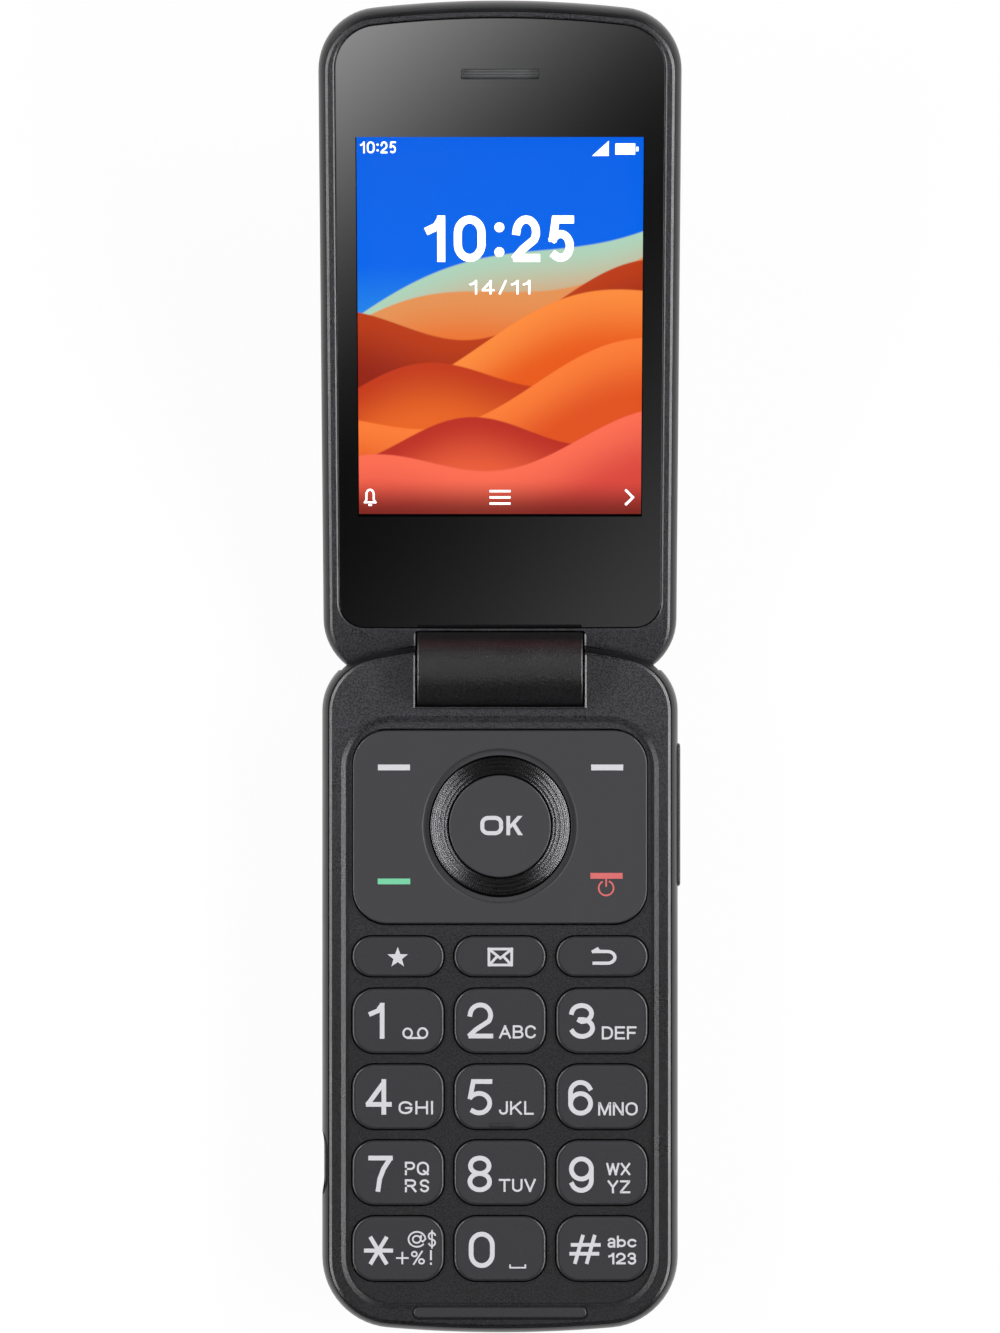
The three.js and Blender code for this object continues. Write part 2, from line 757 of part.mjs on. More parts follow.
function baseRearHousing() {
  const { half, top: far, bottom: chin } = baseOutline;
  const endProfile = [
    new THREE.Vector2(chin - cutRun, -cutRun),
    ...arc(axisY - backEndRound, backEndRound, backEndRound, -90, 0, smallCornerSteps),
    new THREE.Vector2(axisY, sideTop + cutRun),
    new THREE.Vector2(chin - cutRun, sideTop + cutRun),
  ];
  const skin = baseSkin().intersect(sideways(endProfile, -half - cutRun, half + cutRun));
  const shoulders = shoulderRound(0, axisY, axisZ)
    .intersect(box(-half, half, axisY - hairGap, far + cutRun, 0, sideTop));
  const coverSpace = box(-far, far, chin - cutRun, coverEndY + coverGap, -cutRun, coverRim + coverGap)
    .subtract(baseSkin(coverWall + coverGap)
      .intersect(box(-far, far, chin, far, coverWall + coverGap, sideTop)));
  const chamber = loft([
    { z: floorTop, points: casing(baseOutline, wallAtFloor) },
    { z: wallBendZ, points: casing(baseOutline, (wallAtFloor + wallAbove) / 2) },
    { z: skirtBottom, points: casing(baseOutline, wallAbove) },
  ]).subtract(box(-far, far, hollowEndY, far, 0, sideTop));
  const bayHalf = batteryWidth / 2 + lidGap;
  const bay = { x: 0, y: batteryY, width: 2 * bayHalf, length: batteryLength + 2 * lidGap };
  const bayBlock = block(
    { ...bay, width: bay.width + 2 * bayWall, length: bay.length + 2 * bayWall }, 0, bayRoof,
  );
  const rearBosses = union(...screwPlaces.map(([x, y]) => post(x, y, 0, rearBossTop, rearBossRadius)));
  const seatLow = prism(casing(frontOutline, -hairGap), skirtBottom - hairGap, sideTop + cutRun)
    .subtract(box(-far, far, hollowEndY, far, 0, deckBottom - 2 * hairGap));
  const headPockets = union(...screwPlaces.map(([x, y]) => post(
    x, y, 0, coverWall + coverGap + headRecess, screwHeadRadius + headClear,
  )));
  const connectorSlot = block({
    ...connectorSize, y: connectorSize.y - bayWall / 2,
    width: connectorSize.width + 2 * hairGap, length: connectorSize.length + 2 * bayWall,
  }, coverWall, bayRoof + cutRun);
  const simWindow = block({
    ...simSize, width: simSize.width - 2 * bayWall, length: simSize.length - 2 * bayWall,
  }, 0, floorTop + cutRun);
  const speakerWindow = block({ ...speakerSize, ...speakerPort }, 0, floorTop + cutRun);
  return cut(
    skin.add(shoulders), coverSpace, cut(chamber, bayBlock, rearBosses), seatLow,
    block(bay, 0, bayCeiling), bossHoles(screwHole, 0, rearBossTop), headPockets,
    connectorSlot, simWindow, speakerWindow, rockerSlot(), usbSlot(),
    barrelNotch(axisY, axisZ, axisY, axisY + far), hingeBores(pinBore, axisZ),
  );
}

function rockerSlot() {
  const halfY = rockerLength / 2 + rockerGap;
  const halfZ = rockerHeight / 2 + rockerGap;
  return box(
    rockerIn - rockerFlangeDepth, rockerOut + cutRun, rockerY - halfY, rockerY + halfY,
    rockerZ - halfZ, rockerZ + halfZ,
  ).add(box(
    rockerIn - 2 * rockerFlangeDepth, rockerIn + rockerGap,
    rockerY - halfY - rockerFlange, rockerY + halfY + rockerFlange,
    rockerZ - halfZ - rockerFlange / 2, rockerZ + halfZ + rockerFlange / 2,
  ));
}

function volumeRocker() {
  const halfY = rockerLength / 2;
  const halfZ = rockerHeight / 2;
  const face = (grow) => roundedRect(
    rockerY - halfY - grow, rockerY + halfY + grow, rockerZ - halfZ - grow, rockerZ + halfZ + grow,
    halfZ + grow,
  );
  const turn = new THREE.Matrix4().makeBasis(
    new THREE.Vector3(0, 1, 0), new THREE.Vector3(0, 0, 1), new THREE.Vector3(1, 0, 0),
  );
  const button = loft([
    { z: rockerIn - rockerFlangeDepth / 2, points: face(0) },
    { z: rockerOut - rockerRound, points: face(0) },
    { z: rockerOut, points: face(-rockerRound) },
  ]);
  const flange = box(
    rockerIn - rockerFlangeDepth, rockerIn,
    rockerY - halfY - rockerFlange + rockerGap, rockerY + halfY + rockerFlange - rockerGap,
    rockerZ - halfZ, rockerZ + halfZ,
  );
  return solid(geometryOf(button).applyMatrix4(turn)).add(flange);
}

function usbSlot() {
  const halfY = usbWidth / 2 + usbGap;
  return box(
    -usbOut - cutRun, -usbOut + usbDepth, usbY - halfY, usbY + halfY,
    usbTop - usbHeight - usbGap, usbTop + usbGap,
  );
}

function usbConnector() {
  const turn = new THREE.Matrix4().makeBasis(
    new THREE.Vector3(0, -1, 0), new THREE.Vector3(0, 0, 1), new THREE.Vector3(-1, 0, 0),
  );
  const face = (shrink) => roundedRect(
    -usbWidth / 2 + shrink, usbWidth / 2 - shrink, -usbHeight / 2 + shrink, usbHeight / 2 - shrink,
    usbCorner - shrink,
  );
  const shell = prism(face(0), 0, usbDepth);
  const mouth = prism(face(usbShell), usbBack, usbDepth + cutRun);
  const tongue = box(
    -usbTongueWidth / 2, usbTongueWidth / 2, -usbTongueThick / 2, usbTongueThick / 2,
    usbBack / 2, usbBack + usbTongueReach,
  );
  const socket = geometryOf(shell.subtract(mouth).add(tongue)).applyMatrix4(turn);
  return solid(socket.translate(-usbOut + usbDepth, usbY, usbTop - usbHeight / 2));
}

function batteryCover() {
  const { half, top: far, bottom: chin } = baseOutline;
  const shell = baseSkin().intersect(box(-far, far, chin - cutRun, coverEndY, 0, coverRim));
  const inner = baseSkin(coverWall).intersect(box(-far, far, chin, far, coverWall, sideTop));
  const nail = box(
    half - cutRun, half + cutRun, nailNotchY - nailNotchWidth / 2, nailNotchY + nailNotchWidth / 2,
    coverRim - nailNotchRise, coverRim + cutRun,
  );
  const slots = [];
  for (let i = 0; i < speakerSlotCount; i += 1) {
    const x = speakerSize.x + ((i + 0.5) / speakerSlotCount - 0.5) * speakerPort.width;
    slots.push(block(
      { x, y: speakerSize.y, width: speakerSlotWidth, length: speakerPort.length }, -cutRun, floorTop,
    ));
  }
  return cut(shell, inner, nail, ...slots);
}

function screw(x, y, headBottom, direction, end) {
  const headTop = headBottom + direction * screwHeadHeight;
  const low = (a, b) => [Math.min(a, b), Math.max(a, b)];
  const head = post(x, y, ...low(headBottom, headTop), screwHeadRadius);
  const shank = post(x, y, ...low(headTop - (direction * screwHeadHeight) / 2, end), screwRadius);
  const depth = low(headBottom - direction * cutRun, headBottom + direction * driveDepth);
  const slot = block({ x, y, width: driveWidth, length: driveLength }, ...depth);
  const cross = block({ x, y, width: driveLength, length: driveWidth }, ...depth);
  return cut(head.add(shank), slot, cross);
}

function mainBoard() {
  const outline = roundedRect(-boardHalf, boardHalf, boardChinY, boardEndY, frontOutline.topCorner);
  return cut(
    prism(outline, boardBottom, boardTop), bossHoles(bossRadius + bossClear, boardBottom, boardTop),
  );
}

function domePlaces() {
  const corners = [-1, 1].flatMap((sx) => [-1, 1].map((sy) => ({
    x: (sx * (panelWidth - panelHole)) / 2, y: navY + (sy * (panelHeight - panelHole)) / 2,
  })));
  const middle = (ringOuter + ringInner) / 2;
  const ring = [0, 90, 180, 270].map((angle) => ({
    x: middle * Math.cos(rad(angle)), y: navY + middle * Math.sin(rad(angle)),
  }));
  return [...keys, ...corners, ...ring, { x: 0, y: navY }];
}

function domeSheet() {
  const outline = roundedRect(-matHalf, matHalf, matChinY, matEndY, frontOutline.topCorner);
  const domes = domePlaces().map(({ x, y }) => post(
    x, y, domeSheetTop - hairGap / 2, domeSheetTop + domeRise, domeRadius,
    domeRadius * domeTopRadius_share, domeSides,
  ));
  return cut(
    union(prism(outline, domeSheetBottom, domeSheetTop), ...domes),
    bossHoles(bossRadius + bossClear, domeSheetBottom, domeSheetTop),
  );
}

function keypadMat() {
  const outline = roundedRect(-matHalf, matHalf, matChinY, matEndY, frontOutline.topCorner);
  const pads = keys.map(({ x, y, padHalf }) => box(
    x - padHalfX, x + padHalfX, y - padHalf, y + padHalf, matTop - hairGap / 2, padTop,
  ));
  return cut(
    union(prism(outline, matBottom, matTop), ...pads),
    bossHoles(bossRadius + bossClear, matBottom, padTop),
  );
}

function simHolder() {
  const top = boardBottom - hairGap;
  const { x, y, length, height } = simSize;
  const slotBottom = top - height / 2 - simSlot.height / 2;
  const mouth = block(
    { x, y: y - length / 2 + simSlot.depth / 2 - cutRun / 2, width: simSlot.width,
      length: simSlot.depth + cutRun },
    slotBottom, slotBottom + simSlot.height,
  );
  return block(simSize, top - height, top).subtract(mouth);
}

function batteryConnector() {
  const { x, y, length, height } = connectorSize;
  const bottom = bayRoof - height;
  const grooves = [];
  for (let i = 0; i < connectorBlades; i += 1) {
    grooves.push(block({
      x: x + (i - (connectorBlades - 1) / 2) * connectorBlade.pitch,
      y: y - length / 2, width: connectorBlade.width, length: 2 * connectorBlade.depth,
    }, bottom - cutRun, bottom + connectorBlade.height));
  }
  return cut(block(connectorSize, bottom, bayRoof), ...grooves);
}

function hanging(size) {
  const top = boardBottom - hairGap;
  return block(size, top - size.height, top);
}

function navPanel() {
  const plate = loft([
    { z: panelBottom, points: panelOutline(0) },
    { z: panelTop - panelEdge, points: panelOutline(0) },
    { z: panelTop, points: panelOutline(-panelEdge) },
  ]);
  return cut(
    plate,
    post(0, navY, panelBottom - cutRun, panelTop + cutRun, panelHole, panelHole, roundSides),
    post(0, navY, panelTop - dishDepth, panelTop, dishFloorRadius, dishRadius, roundSides),
  );
}

function navRing() {
  return turned(0, navY, [
    [ringInner, panelBottom], [ringOuter, panelBottom], [ringOuter, ringTop - ringEdge],
    [ringOuter - ringEdge, ringTop], [ringInner + ringEdge, ringTop - ringDip],
    [ringInner, ringTop - ringDip - ringEdge], [ringInner, panelBottom],
  ]);
}

function okKey() {
  return turned(0, navY, [
    [0, okBottom], [okRadius, okBottom], [okRadius, keyTop - okEdge],
    [okRadius - okEdge, keyTop], [0, keyTop - okDish],
  ]);
}

function web(inner, outer) {
  return turned(0, navY, [
    [inner, webBottom], [outer, webBottom], [outer, webTop], [inner, webTop], [inner, webBottom],
  ], webSides);
}

// Outline of the lid seen from its side: scooped and rounded at the hinge, so that it
// swings clear of the base and of the surface that the phone lies on
function lidSide() {
  const tilt = lidTiltDegrees;
  const far = lidOutline.top + cutRun;
  const roundEnd = arc(hingeEndY, hingeEndW, hingeEndRadius, -90 - tilt, -180 - hingeEndSweep, cornerSteps);
  const start = roundEnd[0];
  const slope = new THREE.QuadraticBezierCurve(
    new THREE.Vector2(backSlopeEndY, lidBack),
    new THREE.Vector2(backSlopeKneeY, lidBack), start,
  ).getPoints(curveSteps);
  return [
    new THREE.Vector2(roundEnd[cornerSteps].x, cutRun), ...roundEnd.slice().reverse(),
    ...slope.reverse().slice(1), new THREE.Vector2(far, lidBack), new THREE.Vector2(far, cutRun),
  ];
}

function lidSideBody() {
  return sideways(lidSide(), -lidOutline.half - cutRun, lidOutline.half + cutRun);
}

function lidNotch() {
  return rod(-notchHalf, notchHalf, 0, 0, notchRadius, roundSides)
    .add(box(-notchHalf, notchHalf, -notchRadius, hingeEndY, -barrelRadius, cutRun));
}

function earSlot(grow, z0, z1) {
  const halfX = earSlotWidth / 2 + grow;
  const halfY = earSlotHeight / 2 + grow;
  return prism(roundedRect(-halfX, halfX, earY - halfY, earY + halfY, halfY, 3), z0, z1);
}

function lidFrontFrame() {
  const ledge = lidFace - ledgeDrop;
  const web = lidFace - frameWeb;
  const low = lidFace - frameSkirt;
  const shell = loft([
    { z: low, points: casing(frameOutline) },
    { z: lidFace - rimChamfer, points: casing(frameOutline) },
    { z: lidFace, points: casing(frameOutline, rimChamfer) },
  ]).intersect(lidSideBody());
  const hollow = prism(casing(frameOutline, frameSkirtWall), low - cutRun, web)
    .subtract(box(-lidOutline.half, lidOutline.half, -cutRun, cavityStartY, lidBack, 0));
  const bosses = union(...[-lidScrewX, lidScrewX].map((x) => (
    post(x, lidScrewY, frameBossEnd, web + hairGap, bossRadius)
  )));
  const pocket = prism(casing(lensOutline, -hairGap), ledge, cutRun);
  const windowHalf = displayWidth / 2 + lidGap;
  const windowEnd = displayLength / 2 + lidGap;
  const opening = prism(roundedRect(
    -windowHalf, windowHalf, displayY - windowEnd, displayY + windowEnd, displayCorner + lidGap,
  ), low - cutRun, 0);
  const screwCuts = union(...[-lidScrewX, lidScrewX].flatMap((x) => [
    post(x, lidScrewY, lidFace - lidHeadRecess, 0, screwHeadRadius + headClear),
    post(x, lidScrewY, lidBack, 0, screwHole),
  ]));
  return cut(
    cut(shell, hollow).add(bosses), pocket, opening, screwCuts,
    earSlot(2 * earMeshMargin, low - cutRun, 0),
    shoulderRound(runGap, 0, 0), lidNotch(), armPassage(),
  );
}

// The barrel's arm, grown by a gap for the slot in the lid that it comes through
function arm(grow, endY) {
  const half = armHalf + grow;
  const start = armStartY - grow;
  return box(-half, half, start, endY, armBottom - grow, armTop + grow)
    .add(box(-half, half, start, armRootEndY + grow, armBottom - grow, armRootTop + grow));
}

function armPassage() {
  return arm(armGap, cavityStartY + hairGap);
}

function lidRearCover() {
  const floor = lidBack + coverBack;
  const low = lidFace - frameSkirt;
  const { half } = lidOutline;
  const skin = lidSkin().intersect(lidSideBody());
  const cavity = loft([
    { z: floor, points: casing(lidOutline, cavityFloorInset) },
    { z: cavityBendW, points: casing(lidOutline, cavityInset + hairGap) },
    { z: low, points: casing(lidOutline, cavityInset) },
  ]).subtract(box(-half, half, lidOutline.bottom - cutRun, cavityStartY, lidBack, 0));
  const seat = prism(casing(frameOutline, -hairGap), low - lidGap, 0);
  const lensHalfX = outerLensWidth / 2 + hairGap;
  const lensHalfY = outerLensHeight / 2 + hairGap;
  const pocket = prism(roundedRect(
    -lensHalfX, lensHalfX, outerLensY - lensHalfY, outerLensY + lensHalfY, outerLensCorner + hairGap,
  ), lidBack - cutRun, lidBack + outerPocketDepth);
  const opening = block({
    x: 0, y: outerDisplayY, width: outerDisplayWidth + 2 * lidGap,
    length: outerDisplayHeight + 2 * lidGap,
  }, lidBack, 0);
  const bosses = union(...[-lidScrewX, lidScrewX].map((x) => (
    post(x, lidScrewY, floor - hairGap, coverBossTop, bossRadius)
  )));
  const pilots = union(...[-lidScrewX, lidScrewX].map((x) => (
    post(x, lidScrewY, lidScrewEnd - lidGap, 0, screwHole)
  )));
  const body = cut(skin, cavity, seat, pocket, opening, armPassage()).add(bosses);
  return cut(
    body, pilots, post(0, cameraY, lidBack, 0, cameraHole, cameraHole, smallSides),
    shoulderRound(runGap, 0, 0), lidNotch(),
  );
}

function mainLens() {
  const top = lidFace - lensDrop;
  return cut(
    loft([
      { z: top - lensThickness, points: casing(lensOutline) },
      { z: top - lensEdge, points: casing(lensOutline) },
      { z: top, points: casing(lensOutline, lensEdge) },
    ]),
    earSlot(0, lidBack, 0),
  );
}

function displayModule() {
  const halfX = displayWidth / 2;
  const halfY = displayLength / 2;
  return prism(roundedRect(
    -halfX, halfX, displayY - halfY, displayY + halfY, displayCorner,
  ), displayTop - displayThickness, displayTop);
}

function earpieceMesh() {
  const top = lidFace - lensDrop - lensThickness - lidGap;
  const holes = [];
  for (let i = 0; i < earHoles; i += 1) {
    for (const row of [-0.5, 0.5]) {
      holes.push(block({
        x: ((i + 0.5) / earHoles - 0.5) * earSlotWidth, y: earY + (row * earSlotHeight) / 2,
        width: earHoleWidth, length: earHoleHeight,
      }, lidBack, 0));
    }
  }
  return cut(earSlot(earMeshMargin, top - earMeshThickness, top), ...holes);
}

function outerLens() {
  const halfX = outerLensWidth / 2;
  const halfY = outerLensHeight / 2;
  const face = (grow) => roundedRect(
    -halfX - grow, halfX + grow, outerLensY - halfY - grow, outerLensY + halfY + grow,
    outerLensCorner + grow,
  );
  const out = lidBack + lensDrop;
  return loft([
    { z: out, points: face(-lensEdge) },
    { z: out + lensEdge, points: face(0) },
    { z: out + outerLensThickness, points: face(0) },
  ]);
}

function outerDisplay() {
  const face = lidBack + outerPocketDepth + hairGap;
  return block(
    { x: 0, y: outerDisplayY, width: outerDisplayWidth, length: outerDisplayHeight },
    face, face + outerDisplayThickness,
  );
}

function cameraModule() {
  const out = lidBack + outerPocketDepth;
  const shoulder = lidBack + coverBack + hairGap;
  const body = block({ x: 0, y: cameraY, width: cameraWidth, length: cameraWidth },
    shoulder, shoulder + cameraHeight);
  return body.add(post(0, cameraY, out, shoulder + hairGap, cameraBarrel));
}

function flexPath() {
  return flexCourse.map(([x, y, z]) => new THREE.Vector3(x, y, z));
}

function hingeBarrel() {
  const turn = (x0, x1, r0, r1) => {
    const geometry = new THREE.CylinderGeometry(r1, r0, x1 - x0, roundSides);
    return solid(geometry.rotateZ(-Math.PI / 2).translate((x0 + x1) / 2, 0, 0));
  };
  const inner = barrelHalf - barrelChamfer;
  const small = barrelRadius - barrelChamfer;
  const drum = union(
    turn(-barrelHalf, -inner, small, barrelRadius), turn(-inner, inner, barrelRadius, barrelRadius),
    turn(inner, barrelHalf, barrelRadius, small),
  );
  const screwHoles = union(...[-lidScrewX, lidScrewX].map((x) => (
    post(x, lidScrewY, lidBack, 0, screwHole)
  )));
  return cut(
    drum.add(arm(0, armEndY)), rod(-barrelHalf - cutRun, -springBoreEnd, 0, 0, springBore, roundSides),
    rod(barrelHalf - cutRun + hairGap, barrelHalf + cutRun, 0, 0, pinBore),
    cable(flexPath(), flexBore, flexSides, flexSteps), screwHoles,
  );
}

function hingeSpring() {
  const steps = springTurns * stepsPerTurn;
  const points = [];
  for (let i = 0; i <= steps; i += 1) {
    const angle = (i / stepsPerTurn) * 2 * Math.PI;
    points.push(new THREE.Vector3(
      springFrom + wireRadius + ((springTo - springFrom - 2 * wireRadius) * i) / steps,
      springRadius * Math.cos(angle), springRadius * Math.sin(angle),
    ));
  }
  return cable(points, wireRadius, wireSides, steps);
}

const finishes = {
  shell: { color: 0x39393c, roughness: 0.55, metalness: 0.1 },
  side: { color: 0x45434a, roughness: 0.45, metalness: 0.15 },
  cap: { color: 0x3d3d40, roughness: 0.5, metalness: 0.05 },
  panel: { color: 0x48484c, roughness: 0.45, metalness: 0.1 },
  ring: { color: 0x8a8a8c, roughness: 0.25, metalness: 0.9 },
  lens: { color: 0x0c0c0e, roughness: 0.08, metalness: 0 },
  display: { color: 0xd8592c, roughness: 0.3, metalness: 0 },
  rubber: { color: 0x2b2b2e, roughness: 0.9, metalness: 0 },
  board: { color: 0x1f5c3a, roughness: 0.6, metalness: 0.1 },
  metal: { color: 0xb4b4b0, roughness: 0.3, metalness: 1 },
  pack: { color: 0x55585e, roughness: 0.6, metalness: 0.1 },
  film: { color: 0xb98a3a, roughness: 0.5, metalness: 0.2 },
};

const phone = new THREE.Group();
const lid = new THREE.Group();
lid.position.set(0, axisY, axisZ);
lid.rotation.x = rad(lidTiltDegrees);
phone.add(lid);

function place(parent, name, finish, body) {
  const mesh = new THREE.Mesh(geometryOf(body), new THREE.MeshStandardMaterial(finishes[finish]));
  mesh.name = name;
  parent.add(mesh);
}

place(phone, "base_front_housing", "shell", baseFrontHousing());
place(phone, "base_rear_housing", "side", baseRearHousing());
place(phone, "battery_cover", "side", batteryCover());
place(phone, "chin_bumper", "cap", prism(
  bumperOutline(0), rimTop - bumperDepth + (rimTop - deckTop) / 2 + hairGap, rimTop,
));
place(phone, "keypad_mat", "rubber", keypadMat());
place(phone, "dome_sheet", "film", domeSheet());
place(phone, "main_board", "board", mainBoard());
place(phone, "shield_can", "metal", hanging(shieldSize));
place(phone, "sim_holder", "metal", simHolder());
place(phone, "vibration_motor", "metal", post(
  motorSize.x, motorSize.y, boardBottom - hairGap - motorSize.height, boardBottom - hairGap,
  motorSize.radius, motorSize.radius, roundSides / 2,
));
place(phone, "microphone", "metal", hanging(microphoneSize));
place(phone, "antenna_carrier", "rubber", hanging(antennaSize));
place(phone, "battery_connector", "rubber", batteryConnector());
place(phone, "loudspeaker", "metal", hanging(speakerSize));
place(phone, "usb_connector", "metal", usbConnector());
place(phone, "volume_switch_board", "board", box(
  switchBoardIn, switchBoardOut, rockerY - switchBoardLength / 2, rockerY + switchBoardLength / 2,
  switchBoardBottom, boardBottom - hairGap,
));
place(phone, "battery", "pack", prism(roundedRect(
  -batteryWidth / 2, batteryWidth / 2, batteryChinY, batteryEndY, batteryCorner,
), batteryBottom, batteryBottom + batteryThickness));
place(phone, "hinge_shaft", "metal", rod(-pinEnd, -shaftInnerEnd, axisY, axisZ, pinRadius));
place(phone, "hinge_pivot_pin", "metal", rod(
  barrelHalf - cutRun + 2 * hairGap, pinEnd, axisY, axisZ, pinRadius,
).subtract(rod(0, pinEnd + cutRun, axisY, axisZ, pinHollow)));
screwPlaces.forEach(([x, y], i) => place(
  phone, `base_screw_${i + 1}`, "metal", screw(x, y, coverWall + coverGap + hairGap, 1, screwEndZ),
));
place(phone, "volume_rocker", "cap", volumeRocker());
keys.forEach((key) => place(phone, key.name, "cap", keycap(key)));
place(phone, "nav_panel_web", "rubber", web(panelWebInner, panelWebOuter));
place(phone, "nav_panel", "panel", navPanel());
place(phone, "nav_ring_web", "rubber", web(ringWebInner, ringWebOuter));
place(phone, "nav_ring", "ring", navRing());
place(phone, "ok_key", "cap", okKey());

place(lid, "lid_front_frame", "shell", lidFrontFrame());
place(lid, "lid_rear_cover", "side", lidRearCover());
place(lid, "main_lens", "lens", mainLens());
place(lid, "display_module", "display", displayModule());
place(lid, "earpiece_mesh", "metal", earpieceMesh());
place(lid, "earpiece", "metal", block(
  { x: 0, y: earY, width: earWidth, length: earHeight },
  lidFace - frameWeb - lidGap - earThickness, lidFace - frameWeb - lidGap,
));
place(lid, "outer_lens", "lens", outerLens());
place(lid, "outer_display", "display", outerDisplay());
place(lid, "camera_module", "metal", cameraModule());
place(lid, "lid_board", "board", box(
  -lidBoardHalf, lidBoardHalf, lidBoardStart, lidBoardEnd,
  lidBoardTop - lidBoardThickness, lidBoardTop,
));
place(lid, "hinge_barrel", "shell", hingeBarrel());
place(lid, "hinge_spring", "metal", hingeSpring());
place(lid, "hinge_cam", "metal", rod(camFrom, camTo, 0, 0, camRadius, roundSides)
  .subtract(rod(camFrom - cutRun, camTo + cutRun, 0, 0, camBore)));
place(lid, "hinge_flex", "film", cable(flexPath(), flexRadius, flexSides, flexSteps));
[-lidScrewX, lidScrewX].forEach((x, i) => place(
  lid, ["lid_screw_left", "lid_screw_right"][i], "metal",
  screw(x, lidScrewY, lidHeadTop, -1, lidScrewEnd),
));

export default phone;
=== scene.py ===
"""Looks of a folding phone that lies open on its back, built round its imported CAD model.

Shapes are worked in millimetres and brought to metres when they are placed. What belongs
to the lid is worked flat, from the hinge axis along the lid, and tilted as it is placed.
"""
import sys

import logging
import math
from dataclasses import dataclass, field, replace
from enum import Enum
from typing import Any, Iterable, Mapping, Sequence

import bmesh
import bpy
from mathutils import Matrix, Vector


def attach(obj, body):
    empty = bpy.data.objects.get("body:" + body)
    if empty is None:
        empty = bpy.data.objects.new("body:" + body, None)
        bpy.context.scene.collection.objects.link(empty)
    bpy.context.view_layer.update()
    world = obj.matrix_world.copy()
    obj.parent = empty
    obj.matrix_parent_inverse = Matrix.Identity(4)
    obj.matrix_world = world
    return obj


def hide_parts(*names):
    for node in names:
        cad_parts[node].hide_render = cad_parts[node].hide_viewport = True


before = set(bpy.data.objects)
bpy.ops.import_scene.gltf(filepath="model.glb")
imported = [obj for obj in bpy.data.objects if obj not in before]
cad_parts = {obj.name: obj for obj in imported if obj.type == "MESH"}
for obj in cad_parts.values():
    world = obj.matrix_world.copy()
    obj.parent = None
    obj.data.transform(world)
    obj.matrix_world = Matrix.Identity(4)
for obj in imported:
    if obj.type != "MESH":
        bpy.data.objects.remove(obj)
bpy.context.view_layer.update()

log = logging.getLogger("phone")

Colour = tuple[float, float, float]
Place = tuple[float, float, float]
Point = tuple[float, float]
Step = tuple[float, float]
Stroke = list[tuple[float, ...]]

MM = 0.001
TO_METRES = Matrix.Diagonal((MM, MM, MM, 1))
WELD = 1e-6
PHOTO_HEIGHT = 1333
HINGE_Y, HINGE_Z = 49.55, 8.3
LID_TILT = math.radians(15)
LID_PLACE = Matrix.Translation((0, HINGE_Y, HINGE_Z)) @ Matrix.Rotation(LID_TILT, 4, "X")
ON_SIDE = Matrix(((0, 0, 1, 0), (1, 0, 0, 0), (0, 1, 0, 0), (0, 0, 0, 1)))
ON_OTHER_SIDE = Matrix(((0, 0, -1, 0), (-1, 0, 0, 0), (0, 1, 0, 0), (0, 0, 0, 1)))
RUN = 3.0
CHAMFER = (0.4, 0.22)
FAR = 130.0
HAIR = 0.1
CORNER_STEPS = 14
ARCH_STEPS = 12
CURVE_STEPS = 8
ROUND_SIDES = 96
SAME_PLACE = 0.0005
SHARP_ANGLE = math.radians(24)
BROW_TURN = 62.0
NOTCH_HALF, NOTCH_RADIUS = 13.08, 6.1
COLLAR = (0.24, 0.13)
BOSS, PILOT, SCREW_HEAD = 1.6, 0.72, 1.45
PIN_BORE, PIN_REACH = 1.35, 17.6
DIGIT_STROKE, LETTER_STROKE = 0.72, 0.31


def srgb(red: int, green: int, blue: int) -> Colour:
    """A colour as the shader takes it, from its values out of 255 on screen.

    Args:
        red: the red value.
        green: the green value.
        blue: the blue value.

    Returns:
        The linear colour.
    """
    def linear(value: int) -> float:
        """One value, made linear."""
        share = value / 255
        return share / 12.92 if share <= 0.04045 else ((share + 0.055) / 1.055) ** 2.4
    return linear(red), linear(green), linear(blue)


def linked(name: str, data: bpy.types.ID) -> bpy.types.Object:
    """A new object of the scene.

    Args:
        name: its name.
        data: its mesh, lamp or camera.

    Returns:
        The object.
    """
    made = bpy.data.objects.new(name, data)
    bpy.context.scene.collection.objects.link(made)
    return made


def evaluated_mesh(piece: bpy.types.Object) -> bpy.types.Mesh:
    """The mesh of an object with its modifiers applied."""
    return bpy.data.meshes.new_from_object(
        piece.evaluated_get(bpy.context.evaluated_depsgraph_get()))


# Outlines and steps of the forms

@dataclass(frozen=True)
class Outline:
    """Outline of one half of the phone, with an arched and rounded end at both ends."""

    half: float
    top: float
    bottom: float
    top_corner: float
    bottom_corner: float
    top_arch: float
    bottom_arch: float

    def inset(self, by: float) -> "Outline":
        """The parallel outline that lies this far inside."""
        return replace(
            self, half=self.half - by, top=self.top - by, bottom=self.bottom + by,
            top_corner=self.top_corner - by, bottom_corner=self.bottom_corner - by,
        )


@dataclass(frozen=True)
class Plan:
    """A rounded rectangle seen from above."""

    x: float
    y: float
    width: float
    length: float
    corner: float = 0.0

    def grown(self, by: float) -> "Plan":
        """The parallel plan that lies this far outside."""
        corner = self.corner + by if self.corner else 0.0
        return replace(self, width=self.width + 2 * by, length=self.length + 2 * by, corner=corner)


BASE = Outline(27.5, 54.2, -52.87, 8.8, 11.1, 12.5, 5)
FRONT = Outline(26.25, 53.2, -51.5, 8.1, 9.7, 12.5, 5)
LID = Outline(27.37, 102.25, -3, 9.3, 9.45, 6.4, 1)
LID_FRAME = Outline(26.25, 101.1, -1.75, 8, 8.2, 6.4, 1)
LENS = Outline(24.8, 100.35, 6.02, 6.6, 4, 6.7, 0.5)


